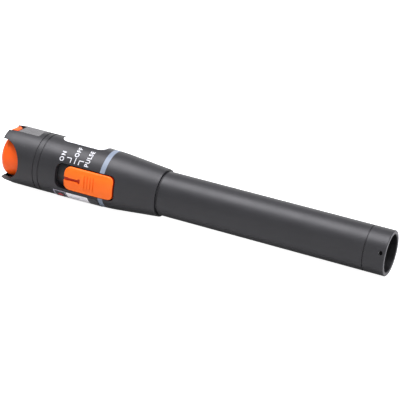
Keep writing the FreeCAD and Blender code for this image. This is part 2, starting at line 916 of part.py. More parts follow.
def laser_diode():
    """The diode's can with its three leads."""
    body = new_body("laser_diode")
    cap_front = "can_front + can_cap_height"
    turn(
        body,
        "can",
        [
            ("can_back", "0"),
            ("can_back", "can_radius"),
            ("can_front", "can_radius"),
            ("can_front", "can_cap_radius"),
            (cap_front, "can_cap_radius"),
            (cap_front, "0"),
        ],
    )
    leads = new_sketch(body, "lead_circles", "YZ_Plane", at("can_back"))
    for y, z in (("-pin_circle", "0"), ("0", "pin_circle"), ("0", "-pin_circle")):
        circle(leads, y, z, "lead_radius")
    pad(body, "leads", leads, "lead_length")
    return body


def focus_lens():
    """The plano-convex lens that focuses the beam into the ferrule."""
    body = new_body("focus_lens")
    half = "lens_thickness / 2"
    # a bowed front face whose radius follows from its rim and its height
    bow = f"(lens_radius * lens_radius + ({half}) * ({half})) / (2 * ({half}))"
    turn(
        body,
        "glass",
        [
            ("lens_back", "0"),
            ("lens_back", "lens_radius"),
            (f"lens_back + {half}", "lens_radius", bow, 1),
            ("lens_front", "0"),
        ],
    )
    return body


def lens_retainer():
    """The ring that holds the lens against its seat."""
    body = new_body("lens_retainer")
    start = "lens_front - lens_bulge"
    end = f"{start} + retainer_thickness"
    whole_ring(body, "ring", start, end, "lens_radius", "retainer_bore")
    return body


# ---------------------------------------------------------------------------
# Board, its sled and what is soldered to it. Depth runs from the axis towards -Y.
# ---------------------------------------------------------------------------
def board_sled():
    """The moulded sled: an end wall that insulates the front contact, and a trough."""
    body = new_body("board_sled")
    turn(
        body,
        "trough",
        [
            ("sled_back", "contact_shank + thread_gap"),
            ("sled_back", "sled_radius"),
            ("board_end", "sled_radius"),
            ("board_end", "sled_inner"),
            ("sled_step", "sled_inner"),
            ("sled_step", "contact_shank + thread_gap"),
        ],
    )
    above = new_sketch(body, "board_side_outline", "XZ_Plane", "board_back")
    front = at("board_end + overrun")
    rectangle(above, front, at("sled_step"), "-crown_radius", "crown_radius")
    pocket(body, "board_side", above, "crown_radius", forward=True)
    relief = new_sketch(body, "shutter_relief_outline", "XZ_Plane", "sled_relief")
    front, back = at("sled_step + overrun"), at("sled_back - overrun")
    rectangle(relief, front, back, "-crown_radius", "crown_radius")
    pocket(body, "shutter_relief", relief, "crown_radius", forward=True)
    bosses = new_sketch(body, "boss_circles", "XZ_Plane", "board_back")
    for side in ("", "-"):
        circle(bosses, at("screw_station"), f"{side}screw_spread", "boss_radius")
    pad(body, "bosses", bosses, "board_back + boss_depth", back=True)
    holes = new_sketch(body, "screw_circles", "XZ_Plane", "board_back")
    for side in ("", "-"):
        circle(holes, at("screw_station"), f"{side}screw_spread", "screw_radius + thread_gap")
    pocket(body, "screw_holes", holes, "screw_length")
    return body


def front_contact():
    """The brass stud that meets the front cell's positive end."""
    body = new_body("front_contact")
    turn(
        body,
        "stud",
        [
            ("cell_end", "0"),
            ("cell_end", "contact_radius"),
            ("sled_back", "contact_radius"),
            ("sled_back", "contact_shank"),
            ("board_station", "contact_shank"),
            ("board_station", "0"),
        ],
    )
    return body


def circuit_board():
    """The driver board, flat in the head and facing the switch window."""
    body = new_body("circuit_board")
    blank = new_sketch(body, "blank_outline", "XZ_Plane", "board_back")
    half = "board_half_width"
    rectangle(blank, at("board_end"), at("board_station"), f"-{half}", half)
    pad(body, "blank", blank, "board_thickness")
    holes = new_sketch(body, "screw_circles", "XZ_Plane", "board_back")
    for side in ("", "-"):
        circle(holes, at("screw_station"), f"{side}screw_spread", "screw_radius + 2 * thread_gap")
    pocket(body, "screw_holes", holes, "board_thickness", forward=True)
    return body


def board_screws():
    """Two small screws that hold the board on the sled's bosses."""
    body = new_body("board_screws")
    shanks = new_sketch(body, "shank_circles", "XZ_Plane", "board_front")
    heads = new_sketch(body, "head_circles", "XZ_Plane", "board_front")
    for side in ("", "-"):
        circle(shanks, at("screw_station"), f"{side}screw_spread", "screw_radius")
        circle(heads, at("screw_station"), f"{side}screw_spread", "screw_head")
    pad(body, "shanks", shanks, "screw_length", back=True)
    pad(body, "heads", heads, "screw_head_height")
    return body


def on_board(label, shapes, height, behind=False):
    """Components of one kind: sketch outlines on the board's face, padded to their height."""
    body = new_body(label)
    face = "board_back" if behind else "board_front"
    sketch = new_sketch(body, "outlines", "XZ_Plane", face)
    for draw in shapes:
        draw(sketch)
    pad(body, "packages", sketch, height, back=behind)
    return body


def box_on_board(from_start, across, length, width):
    """A rectangular outline whose centre is so far along and across the board."""
    middle = f"board_station + {from_start}"

    def draw(sketch):
        rectangle(
            sketch,
            at(f"{middle} + {length} / 2"),
            at(f"{middle} - {length} / 2"),
            f"{across} - {width} / 2",
            f"{across} + {width} / 2",
        )

    return draw


def round_on_board(from_start, across, radius):
    """A round outline whose centre is so far along and across the board."""

    def draw(sketch):
        circle(sketch, at(f"board_station + {from_start}"), across, radius)

    return draw


RESISTORS_IN_A_ROW = 4


def board_components():
    """Driver chip, capacitor, trimmer and chip resistors."""
    end_parts = "board_length - end_part_inset"
    on_board(
        "driver_chip",
        [box_on_board("chip_offset", "0", "chip_length", "chip_width")],
        "chip_height",
        behind=True,
    )
    on_board(
        "smoothing_capacitor",
        [round_on_board(end_parts, "capacitor_offset", "capacitor_radius")],
        "capacitor_height",
    )
    on_board(
        "current_trimmer",
        [box_on_board(end_parts, "-trimmer_offset", "trimmer_size", "trimmer_size")],
        "trimmer_height",
    )
    resistors = [
        box_on_board(
            f"resistor_inset + resistor_pitch * {place}",
            f"{side}resistor_offset",
            "resistor_width",
            "resistor_length",
        )
        for side in ("", "-")
        for place in range(RESISTORS_IN_A_ROW)
    ]
    on_board("chip_resistors", resistors, "resistor_height")


# ---------------------------------------------------------------------------
# Slide switch: the switch itself, its lever, the shutter and the button.
# ---------------------------------------------------------------------------
def slide_switch():
    """The switch's can, with the slot that its lever runs in."""
    body = new_body("slide_switch")
    can = new_sketch(body, "can_outline", "XZ_Plane", "board_front")
    length, width = "switch_length / 2", "switch_width / 2"
    rectangle(
        can,
        at(f"switch_station + {length}"),
        at(f"switch_station - {length}"),
        f"-{width}",
        width,
    )
    pad(body, "can", can, "switch_height")
    run = "(travel + lever_size) / 2 + button_gap"
    slot = new_sketch(body, "slot_outline", "XZ_Plane", "switch_top")
    rectangle(
        slot,
        at(f"switch_station + {run}"),
        at(f"switch_station - ({run})"),
        "-lever_size / 2 - button_gap / 2",
        "lever_size / 2 + button_gap / 2",
    )
    pocket(body, "slot", slot, "switch_height / 2 + button_gap")
    return body


def switch_lever():
    """The switch's lever, from its slot up into the shutter."""
    body = new_body("switch_lever")
    foot = new_sketch(body, "foot_outline", "XZ_Plane", "switch_top - switch_height / 2")
    half = "lever_size / 2"
    rectangle(
        foot, at(f"button_middle + {half}"), at(f"button_middle - {half}"), f"-{half}", half
    )
    pad(body, "post", foot, "shutter_radius - switch_top + switch_height / 2 - thread_gap")
    return body


def lever_hole(body, name):
    """Cut the lever's hole through a piece that rides on it."""
    sketch = new_sketch(body, f"{name}_outline", "XZ_Plane", "shutter_inner / 2")
    half = "lever_size / 2 + thread_gap"
    rectangle(
        sketch, at(f"button_middle + {half}"), at(f"button_middle - ({half})"), f"-({half})", half
    )
    pocket(body, name, sketch, "shutter_inner / 2 + shutter_wall", forward=True)


def peg_circles(body, name, radius):
    """Two peg circles beside the lever, on a plane inside the shutter."""
    sketch = new_sketch(body, name, "XZ_Plane", "shutter_inner / 2")
    for side in ("+", "-"):
        circle(sketch, at(f"button_middle {side} peg_spacing / 2"), "0", radius)
    return sketch


def slide_shutter():
    """The curved black plate under the window, which keeps it closed at every position."""
    body = new_body("slide_shutter")
    points = [
        ("shutter_tail", "shutter_radius"),
        ("shutter_head", "shutter_radius"),
        ("shutter_head", "shutter_inner"),
        ("shutter_tail", "shutter_inner"),
    ]
    sector(body, "sector", points, "2 * shutter_spread", "90")
    lever_hole(body, "lever_hole")
    circles = peg_circles(body, "peg_hole_circles", "peg_radius + thread_gap")
    pocket(body, "peg_holes", circles, "crown_radius", forward=True)
    return body


def slide_button():
    """The orange button: fills the window's width and follows the head's curve outside."""
    body = new_body("slide_button")
    block = new_sketch(body, "block_outline", "XZ_Plane", "shutter_inner")
    rounded_rectangle(
        block,
        at("button_head"),
        at("button_tail"),
        "-button_width / 2",
        "button_width / 2",
        "button_corner",
    )
    pad(body, "block", block, "crown_radius - shutter_inner + 3 * overrun")
    # turn the outside down to the head's line plus the button's rise
    start, end = "button_tail - overrun", "button_head + overrun"
    clear = "crown_radius + 6 * overrun"
    turn_away(
        body,
        "outside",
        [
            (start, "cone_radius + button_rise"),
            ("button_tail + crest_inset", "button_radius"),
            (end, "button_radius"),
            (end, clear),
            (start, clear),
        ],
    )
    # and the inside up to the shutter
    trimmed = turn_away(
        body,
        "inside",
        [
            (start, "0"),
            (end, "0"),
            (end, "shutter_radius + thread_gap"),
            (start, "shutter_radius + thread_gap"),
        ],
    )
    doc.recompute()
    bevel = body.newObject("PartDesign::Chamfer", "slide_button_bevel")
    bevel.Base = (trimmed, outer_edges(trimmed.Shape, value("shoulder_radius")))
    bevel.setExpression("Size", bound("button_bevel"))
    doc.recompute()
    add_finger_marks(body)
    circles = peg_circles(body, "peg_circles", "peg_radius")
    circles.setExpression(".AttachmentOffset.Base.z", bound("shutter_inner + thread_gap"))
    pad(body, "pegs", circles, "shutter_wall + 2 * thread_gap + button_rise")
    return body


RIM_SLACK = 0.2
SIDE_DEPTH = 1.0


def outer_edges(shape, beyond):
    """Names of the edges whose every vertex lies beyond a radius from the pen's axis."""
    names = []
    for index, edge in enumerate(shape.Edges, start=1):
        radii = [math.hypot(v.Point.y, v.Point.z) for v in edge.Vertexes]
        middle = edge.valueAt((edge.FirstParameter + edge.LastParameter) / 2)
        radii.append(math.hypot(middle.y, middle.z))
        if min(radii) > beyond - RIM_SLACK and is_rim(shape, edge, beyond):
            names.append(f"Edge{index}")
    return names


def is_rim(shape, edge, beyond):
    """True when one of the edge's faces runs down to the button's inside."""
    for face in shape.ancestorsOfType(edge, Part.Face):
        lowest = min(math.hypot(v.Point.y, v.Point.z) for v in face.Vertexes)
        if lowest < beyond - SIDE_DEPTH:
            return True
    return False


GRIP_LINES = 5


def add_finger_marks(body):
    """The pointer groove at the head end and the grip lines across the middle."""
    pointer = new_sketch(body, "pointer_outline", "XZ_Plane", "button_radius - pointer_depth")
    wide, narrow = "pointer_half_width", "pointer_stem"
    tip = at("button_head + overrun")
    neck = at("button_head - pointer_taper")
    bar_front = at("button_head - pointer_length")
    bar_back = at("button_head - pointer_length - pointer_bar")
    outline(
        pointer,
        [
            (tip, wide),
            (tip, f"-{wide}"),
            (neck, f"-{narrow}"),
            (bar_front, f"-{narrow}"),
            (bar_front, f"-{wide}"),
            (bar_back, f"-{wide}"),
            (bar_back, wide),
            (bar_front, wide),
            (bar_front, narrow),
            (neck, narrow),
        ],
    )
    pocket(body, "pointer", pointer, "crown_radius", forward=True)
    grips = new_sketch(body, "grip_outlines", "XZ_Plane", "button_radius - grip_depth")
    for place in range(GRIP_LINES):
        start = f"button_tail + grip_inset + grip_pitch * {place}"
        ends = at(f"{start} + grip_width"), at(start)
        rectangle(grips, *ends, "-grip_half_length", "grip_half_length")
    pocket(body, "grips", grips, "crown_radius", forward=True)


# ---------------------------------------------------------------------------
# Adhesive labels on the head.
# ---------------------------------------------------------------------------
def head_radius(station):
    """Radius of the head's long, almost cylindrical run at a station."""
    run = "(line_station - line_width / 2"
    return f"crown_radius - crown_rise * {run} - ({station})) / {run} - shoulder_station)"


def label(name, start, end, spread, centre):
    """A thin printed label that follows the head's surface."""
    body = new_body(name)
    inside = [f"{head_radius(station)} + label_gap" for station in (start, end)]
    points = [
        (start, f"{inside[0]} + label_thickness"),
        (end, f"{inside[1]} + label_thickness"),
        (end, inside[1]),
        (start, inside[0]),
    ]
    sector(body, "film", points, spread, centre)
    return body


def labels():
    """One label over the top of the head and one below the switch."""
    label(
        "top_label",
        "top_label_start",
        "top_label_end",
        "top_label_spread",
        "360 + top_label_near - top_label_spread / 2",
    )
    label(
        "low_label",
        "low_label_start",
        "low_label_end",
        "low_label_spread",
        "90 + low_label_near + low_label_spread / 2",
    )


# ---------------------------------------------------------------------------
# Build, check and write.
# ---------------------------------------------------------------------------
tail_cap()
tail_seal()
tail_plate()
tail_spring()
barrel_tube()
cell("battery_rear", "cell_station")
cell("battery_front", "cell_middle")
head_shell()
crown()
hinge_pin()
dust_lid()
port_fitting()
ferrule_sleeve()
laser_module()
laser_diode()
focus_lens()
lens_retainer()
board_sled()
front_contact()
circuit_board()
board_screws()
board_components()
slide_switch()
switch_lever()
slide_shutter()
slide_button()
labels()
doc.recompute()

faults = [
    f"{item.Label}: {item.State}"
    for item in doc.Objects
    if {"Invalid", "Error"} & set(item.State)
]
for body in SUBPARTS:
    if body.Shape.isNull() or not body.Shape.isValid() or not body.Shape.Solids:
        faults.append(f"{body.Label}: no valid solid")
if faults:
    raise RuntimeError("; ".join(faults))

os.makedirs("parts", exist_ok=True)
for body in SUBPARTS:
    body.Shape.exportStep(f"parts/{body.Label}.step")
    print(f"{body.Label}: {len(body.Shape.Solids)} solid(s), {body.Shape.Volume:.2f} mm3")
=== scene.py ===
# %% [markdown]
# # A pen-type fault locator
#
# The object is a red-laser test pen for optical fibre: a slim aluminium barrel, a flared head with
# an orange slide switch, and a crown whose two prongs guard an orange flip lid. The engineering
# model already holds every piece at its real size. This notebook loads that model as a frame,
# rebuilds the pieces that the eye rests on as clean, softly edged meshes, and gives every surface
# a procedural finish.

# %% Load the engineering model
import bpy
import json
import math
from mathutils import Matrix, Vector


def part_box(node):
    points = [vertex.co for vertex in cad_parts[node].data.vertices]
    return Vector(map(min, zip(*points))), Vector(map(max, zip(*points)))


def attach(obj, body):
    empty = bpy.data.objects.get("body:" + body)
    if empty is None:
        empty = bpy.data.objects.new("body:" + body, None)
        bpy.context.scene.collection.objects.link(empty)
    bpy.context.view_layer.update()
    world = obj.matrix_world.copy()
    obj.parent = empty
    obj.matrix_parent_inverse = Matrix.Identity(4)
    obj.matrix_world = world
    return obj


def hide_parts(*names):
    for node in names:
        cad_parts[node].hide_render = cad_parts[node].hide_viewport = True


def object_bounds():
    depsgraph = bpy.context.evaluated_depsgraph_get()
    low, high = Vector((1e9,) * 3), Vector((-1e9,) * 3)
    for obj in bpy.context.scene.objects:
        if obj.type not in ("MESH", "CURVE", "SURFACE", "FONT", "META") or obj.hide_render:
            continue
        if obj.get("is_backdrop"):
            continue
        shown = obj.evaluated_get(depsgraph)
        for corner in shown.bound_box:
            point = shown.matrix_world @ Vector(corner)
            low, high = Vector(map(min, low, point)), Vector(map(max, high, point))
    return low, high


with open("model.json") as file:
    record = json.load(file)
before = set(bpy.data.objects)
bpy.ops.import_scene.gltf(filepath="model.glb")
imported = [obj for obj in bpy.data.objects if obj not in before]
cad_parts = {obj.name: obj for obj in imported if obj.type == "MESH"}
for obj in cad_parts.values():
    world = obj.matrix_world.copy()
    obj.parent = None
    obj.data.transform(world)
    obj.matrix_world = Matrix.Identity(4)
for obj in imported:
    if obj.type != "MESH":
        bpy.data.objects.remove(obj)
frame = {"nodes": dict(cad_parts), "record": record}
model_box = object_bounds()
MM = 0.001

# %% [markdown]
# ## Where things are
#
# Everything on a turned pen is easiest to place by *station*, its distance in millimetres from the
# rim of the tail, and by *clock angle*, measured round the axis from the top (+Z) towards the
# switch (-Y). The main stations are read from the boxes of the model's own pieces, so they follow
# the model. A box says nothing of a groove or a corner, so each piece's cell states those itself.

# %% Stations and radii from the frame
def span(node):
    """Lowest and highest station of a node, in millimetres from the tail rim."""
    low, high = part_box(node)
    return (TAIL_X - high.x) / MM, (TAIL_X - low.x) / MM


TAIL_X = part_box("tail_cap")[1].x
barrel_low, barrel_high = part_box("barrel_tube")
AXIS_Y = (barrel_low.y + barrel_high.y) / 2
AXIS_Z = (barrel_low.z + barrel_high.z) / 2
BARREL_R = (barrel_high.z - barrel_low.z) / 2 / MM
HEAD_R = AXIS_Z / MM  # the head rests on z = 0, so its radius is the height of the axis
CAP_LENGTH, FRONT_SPIGOT_END = span("barrel_tube")
JOINT, PARTING = span("head_shell")
CROWN_TAIL, RIM = span("crown")
LID_BACK, APEX = span("dust_lid")
BUTTON_TAIL, BUTTON_HEAD = span("slide_button")
BUTTON_R = HEAD_R + 0.4
pin_low, pin_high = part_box("hinge_pin")
PIN_STATION = sum(span("hinge_pin")) / 2
PIN_HEIGHT = (pin_low.z + pin_high.z) / 2
PIN_R = (pin_high.z - pin_low.z) / 2 / MM
print(f"joint {JOINT:.1f}, parting {PARTING:.1f}, rim {RIM:.1f}, apex {APEX:.1f} mm from the tail")


def on_axis(station):
    """The point of the pen's axis at a station."""
    return Vector((TAIL_X - station * MM, AXIS_Y, AXIS_Z))


def on_skin(station, angle, radius):
    """A point at a station, a clock angle in degrees and a radius in millimetres."""
    turn = math.radians(angle)
    out = Vector((0, -math.sin(turn), math.cos(turn)))
    return on_axis(station) + out * radius * MM

# %% [markdown]
# ## Camera, floor and light
#
# The pen lies on its side and is seen from in front of the switch, a little above, through a long
# lens, so the two sides of the barrel stay almost parallel. A camera matrix is only its three axes
# and its place: the columns are right, up and backwards. The floor is a pale sheet that touches the
# pen where a real one would, under the tail rim and the shoulder of the head, and big soft panels
# give the long calm highlights of a satin surface.

# %% Camera
SIDEWAYS = Vector((0.90441231, 0.41207033, 0.11061833))
DOWNWARDS = Vector((0.24145858, -0.28057754, -0.92896395))
FORWARDS = Vector((-0.35176146, 0.86687617, -0.35325569))
EYE_FROM_TAIL = Vector((143.345, -562.668, 230.344)) * MM
SENSOR_WIDTH = 36
FOCAL_LENGTH = 138.85

lens = bpy.data.cameras.new("camera")
lens.sensor_width = SENSOR_WIDTH
lens.lens = FOCAL_LENGTH
lens.clip_end = 20
camera = bpy.data.objects.new("camera", lens)
bpy.context.collection.objects.link(camera)
axes = Matrix((SIDEWAYS, -DOWNWARDS, -FORWARDS)).transposed()
camera.matrix_world = Matrix.Translation(on_axis(0) + EYE_FROM_TAIL) @ axes.to_4x4()
bpy.context.scene.camera = camera
bpy.context.scene.view_settings.view_transform = "Standard"
print("camera at", [round(v, 3) for v in camera.location])

# %% Floor
SHOULDER = 127.0
SHOULDER_R = 12.6
SHEET_R = 3  # metres
slope = math.atan2(SHOULDER_R - BARREL_R, SHOULDER)
bpy.ops.mesh.primitive_circle_add(vertices=96, radius=SHEET_R, fill_type="NGON")
floor = bpy.context.object
floor.name = "floor"
floor.rotation_euler = (0, -slope, 0)
floor.location = on_axis(0) - Vector((0, 0, BARREL_R * MM))
floor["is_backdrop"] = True
print(f"floor leans {math.degrees(slope):.2f} degrees under the pen")

# %% Soft light
UNDER_THE_PEN = Vector((0, 0, 0))
COOL_WHITE = (0.96, 0.95, 1.0)


def panel(name, place, size, power, colour=(1, 1, 1)):
    """A rectangular soft light at a place, in metres and watts, aimed at the pen."""
    light = bpy.data.lights.new(name, "AREA")
    light.shape = "RECTANGLE"
    light.size, light.size_y = size
    light.energy = power
    light.color = colour
    lamp = bpy.data.objects.new(name, light)
    bpy.context.collection.objects.link(lamp)
    lamp.location = place
    lamp.rotation_euler = (UNDER_THE_PEN - Vector(place)).to_track_quat("-Z", "Y").to_euler()
    print(f"{name}: {size[0]} by {size[1]} m, {power} W")


panel("overhead_panel", (0.0, -0.07, 0.75), (1.4, 0.45), 13.0, COOL_WHITE)
panel("front_panel", (1.0, -1.5, 0.12), (3.6, 1.7), 17.0)
panel("back_panel", (-0.6, 1.3, 0.38), (2.6, 0.5), 4.2)

sky = bpy.data.worlds.new("studio")
bpy.context.scene.world = sky
sky.use_nodes = True
sky.node_tree.nodes["Background"].inputs["Color"].default_value = (1, 1, 1, 1)

# %% [markdown]
# ## Turning, cutting and softening
#
# Nearly every visible piece is a lathe job. Blender's own tools can do it by hand: add a circle,
# then extrude its ring of edges along the axis and scale it, corner after corner, until the profile
# closes. Openings are cut with a boolean, exactly as a mill would cut them, and a narrow bevel then
# breaks every sharp edge, because a real edge always catches a thin line of light.

# %% Selecting, placing and editing
def only(piece):
    """Make one piece the active and only selected object."""
    bpy.ops.object.select_all(action="DESELECT")
    piece.select_set(True)
    bpy.context.view_layer.objects.active = piece


def settle(name, scale=None):
    """Name the piece just added, and move its place, turn and scale into its mesh."""
    piece = bpy.context.object
    piece.name = piece.data.name = name
    if scale:
        piece.scale = scale
    only(piece)
    bpy.ops.object.transform_apply(location=True, rotation=True, scale=True)
    return piece


def edit(piece):
    """Go into edit mode with everything on the piece selected."""
    only(piece)
    bpy.ops.object.mode_set(mode="EDIT")
    bpy.ops.mesh.select_all(action="SELECT")


print("sizes are in millimetres, and one is", MM, "m")

# %% Turning a profile
POLE_R = 0.001  # a smaller ring than this is gathered to a point
WELD = MM / 1000


def turned(name, corners, ending="ring", steps=192):
    """Turn a profile of (station, radius) corners about the axis, ring by ring.

    A "ring" profile comes back to its start, a "cap" profile has its two ends filled with discs,
    and a "pole" profile is gathered to a point at its last corner.
    """
    bpy.ops.object.select_all(action="DESELECT")
    bpy.ops.mesh.primitive_circle_add(
        vertices=steps,
        radius=corners[0][1] * MM,
        location=on_axis(corners[0][0]),
        rotation=(0, math.pi / 2, 0),
    )
    piece = settle(name)
    edit(piece)
    following = corners[1:] + (corners[:1] if ending == "ring" else [])
    for (station, radius), (next_station, next_radius) in zip(corners, following):
        step = ((station - next_station) * MM, 0, 0)
        bpy.ops.mesh.extrude_edges_move(TRANSFORM_OT_translate={"value": step})
        if next_radius < POLE_R:
            bpy.ops.mesh.merge(type="CENTER")
            break
        scale = next_radius / radius
        bpy.ops.transform.resize(
            value=(1, scale, scale), center_override=on_axis(next_station)
        )
    bpy.ops.mesh.select_all(action="SELECT")
    bpy.ops.mesh.remove_doubles(threshold=WELD)
    if ending == "cap":
        bpy.ops.mesh.fill_holes(sides=0)
    bpy.ops.mesh.normals_make_consistent(inside=False)
    bpy.ops.object.mode_set(mode="OBJECT")
    return piece


print("points closer than", WELD / MM, "mm are welded")

# %% Modifiers, cuts and soft edges
EDGE_WELD = MM * 0.004
FLAT_WITHIN = math.radians(0.5)
SMOOTH_BELOW = math.radians(40)
FACE_WEIGHT = 60  # above 50, large faces count for more in the shading of small ones


def modify(piece, kind, **settings):
    """Add one modifier, set it and apply it."""
    only(piece)
    modifier = piece.modifiers.new(kind.lower(), kind)
    for key, value in settings.items():
        setattr(modifier, key, value)
    bpy.ops.object.modifier_apply(modifier=modifier.name)


def combine(piece, other, operation):
    """Join, cut or intersect a piece with another closed mesh, which is used up."""
    modify(piece, "BOOLEAN", operation=operation, solver="EXACT", object=other)
    bpy.data.objects.remove(other, do_unlink=True)


def cut(piece, cutter):
    """Cut one closed mesh out of another."""
    combine(piece, cutter, "DIFFERENCE")


def soften(piece, width, angle=30):
    """Break the sharp edges, then shade smoothly across all but the true corners."""
    edit(piece)
    bpy.ops.mesh.remove_doubles(threshold=EDGE_WELD)
    bpy.ops.mesh.dissolve_limited(angle_limit=FLAT_WITHIN)
    bpy.ops.object.mode_set(mode="OBJECT")
    modify(
        piece,
        "BEVEL",
        width=width * MM,
        segments=2,
        limit_method="ANGLE",
        angle_limit=math.radians(angle),
        use_clamp_overlap=False,
        miter_outer="MITER_ARC",
    )
    only(piece)
    bpy.ops.object.shade_smooth_by_angle(angle=SMOOTH_BELOW)
    modify(piece, "WEIGHTED_NORMAL", keep_sharp=True, weight=FACE_WEIGHT)


def finish(piece, material, body, slot, *nodes):
    """Give a piece its material and its body, and hide the nodes it stands for; the slot is not
    used.
    """
    piece.data.materials.clear()
    piece.data.materials.append(material)
    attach(piece, body)
    if nodes:
        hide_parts(*nodes)
    print(f"{piece.name}: {len(piece.data.polygons)} faces, rides on {body}")


print(f"edges under {math.degrees(SMOOTH_BELOW):.0f} degrees are shaded smooth")

# %% [markdown]
# ## Finishes
#
# Each finish is a Principled shader with a little of what a real surface has: a fine grain that
# breaks up the reflections, a slow drift of roughness and of colour, and marks where the maker
# printed or machined it. All patterns are read from the piece's own Object coordinates, so they
# stay on the piece when it moves. What is the same all over is set on the shader itself.

# %% Shaders and nodes
def shader_of(material):
    """The material's Principled shader."""
    return material.node_tree.nodes["Principled BSDF"]


def plain(name, colour, roughness, metallic=0.0, **sockets):
    """A material with its even properties set on the shader's own sockets."""
    material = bpy.data.materials.new(name)
    material.use_nodes = True
    inputs = shader_of(material).inputs
    inputs["Base Color"].default_value = (*colour, 1)
    inputs["Roughness"].default_value = roughness
    inputs["Metallic"].default_value = metallic
    for socket, value in sockets.items():
        inputs[socket.replace("_", " ")].default_value = value
    return material


def new_node(owner, kind, settings=None, **sockets):
    """Add a node, set its menus, and set or link its inputs, by name or as _0, _1 and so on."""
    tree = owner.node_tree
    node = tree.nodes.new(f"ShaderNode{kind}")
    for key, value in (settings or {}).items():
        setattr(node, key, value)
    for name, value in sockets.items():
        socket = node.inputs[int(name[1:])] if name[1:].isdigit() else node.inputs[name]
        if isinstance(value, bpy.types.NodeSocket):
            tree.links.new(value, socket)
        else:
            socket.default_value = value
    return node


def feed(material, socket, output):
    """Link an output to one of the shader's sockets."""
    material.node_tree.links.new(output, shader_of(material).inputs[socket])


def place_on(material):
    """Each point's place on its own piece."""
    return new_node(material, "TexCoord").outputs["Object"]


def mixed(material, factor, first, second):
    """A colour between two, by a factor."""
    node = new_node(material, "Mix", {"data_type": "RGBA"}, _0=factor)
    for index, colour in ((6, first), (7, second)):
        if isinstance(colour, bpy.types.NodeSocket):
            material.node_tree.links.new(colour, node.inputs[index])
        else:
            node.inputs[index].default_value = (*colour, 1)
    return node.outputs[2]


def maths(material, operation, first, second=0.0, third=0.0):
    """One Math node."""
    node = new_node(material, "Math", {"operation": operation}, _0=first, _1=second, _2=third)
    return node.outputs["Value"]


print("patterns are placed by Object coordinates")

# %% Grain and drift
NOISE_DETAIL = 3.0
NOISE_LOW, NOISE_HIGH = 0.3, 0.7  # nearly all of the noise lies between these


def noise(material, size):
    """Noise whose features are about this many millimetres across."""
    scale = 1 / (size * MM)
    place = place_on(material)
    made = new_node(material, "TexNoise", Vector=place, Scale=scale, Detail=NOISE_DETAIL)
    return made.outputs["Fac"]


def grain(material, size, depth):
    """A fine bump, with grains of this size and depth in millimetres."""
    height = noise(material, size)
    bump = new_node(material, "Bump", Height=height, Distance=depth * MM, Strength=1.0)
    feed(material, "Normal", bump.outputs["Normal"])


def mottle(material, size, low, high):
    """Let the roughness drift between two values, and return it."""
    limits = {"From Min": NOISE_LOW, "From Max": NOISE_HIGH, "To Min": low, "To Max": high}
    drift = new_node(material, "MapRange", Value=noise(material, size), **limits)
    feed(material, "Roughness", drift.outputs["Result"])
    return drift.outputs["Result"]


def tint(material, size, first, second):
    """Let the colour drift between two close shades, and return it."""
    shade = mixed(material, noise(material, size), first, second)
    feed(material, "Base Color", shade)
    return shade


print("noise from", NOISE_LOW, "to", NOISE_HIGH, "is spread over each drift of roughness")

# %% [markdown]
# ### Anodised aluminium
#
# The body is bead-blasted, then anodised dark grey. Blasting leaves a fine even grain, and the
# oxide film gives a soft, slightly violet sheen rather than a mirror. The print, and some light and
# shade painted into the colour, are masks on where a point lies, which cost no geometry: a pale
# blue ring printed round the head's shoulder, a painted highlight on the tail rim's face, and a
# lighter grey on the crown's flat, a painted sheen, where the milled face is also left smoother.
# The ring keeps to the outer skin, so that the bore and the window's walls stay plain, and the
# tail cap's colour is darker below its skin, a painted shade inside its cup and bore.

# %% Masks by place
LEVEL_SLACK = 0.03


def outer_skin(material, radius):
    """One where the surface lies outside a radius from the axis, and nought inside it."""
    place = place_on(material)
    centre = (0, -AXIS_Y, -AXIS_Z)
    moved = new_node(material, "Mapping", Vector=place, Location=centre, Scale=(0, 1, 1))
    reach = new_node(material, "VectorMath", {"operation": "LENGTH"}, _0=moved.outputs[0])
    return maths(material, "GREATER_THAN", reach.outputs["Value"], radius * MM)


def band(material, start, end):
    """One between two stations, and nought elsewhere."""
    along = new_node(material, "SeparateXYZ", Vector=place_on(material)).outputs["X"]
    middle = on_axis((start + end) / 2).x
    return maths(material, "COMPARE", along, middle, (end - start) / 2 * MM)


def level(material, height):
    """One on a flat face at this height above the axis, and nought elsewhere."""
    upright = new_node(material, "SeparateXYZ", Vector=place_on(material)).outputs["Z"]
    return maths(material, "COMPARE", upright, AXIS_Z + height * MM, LEVEL_SLACK * MM)


print(f"masks are measured from the axis, {AXIS_Z / MM:.2f} mm up")

# %% Anodised barrel and head, with the printed ring
DARK = (0.0135, 0.0134, 0.0157)
LESS_DARK = (0.02, 0.0196, 0.0226)
RING_BLUE = (0.19, 0.23, 0.295)
RING_START, RING_END = 125.2, 127.4
RING_LOWEST_R = 12.2


def anodised(name):
    """Blasted and anodised aluminium, with the outputs that hold its colour and roughness."""
    material = plain(name, DARK, 0.4)
    grain(material, 0.12, 0.006)
    rough = mottle(material, 9.0, 0.38, 0.46)
    return material, tint(material, 14.0, DARK, LESS_DARK), rough


body_finish, _, _ = anodised("anodised_body")

head_finish, shades, _ = anodised("anodised_head")
ring_mask = maths(
    head_finish,
    "MULTIPLY",
    band(head_finish, RING_START, RING_END),
    outer_skin(head_finish, RING_LOWEST_R),
)
feed(head_finish, "Base Color", mixed(head_finish, ring_mask, shades, RING_BLUE))
print("printed ring from", RING_START, "to", RING_END)

# %% Anodised tail cap and crown, with painted shade, a painted highlight and a painted sheen
PAINTED_BORE_SHADE = (0.005, 0.005, 0.006)
PAINTED_RIM_HIGHLIGHT = (0.10, 0.098, 0.105)
MILLED_FLAT_SHEEN = (0.0638, 0.0615, 0.0673)
BORE_SHADE_R = BARREL_R - 0.2
RIM_FACE = (-0.1, 0.12)
FLAT_HEIGHT = HEAD_R - 0.7
FLAT_END = 161.5
MILLED_SHINE = 0.17

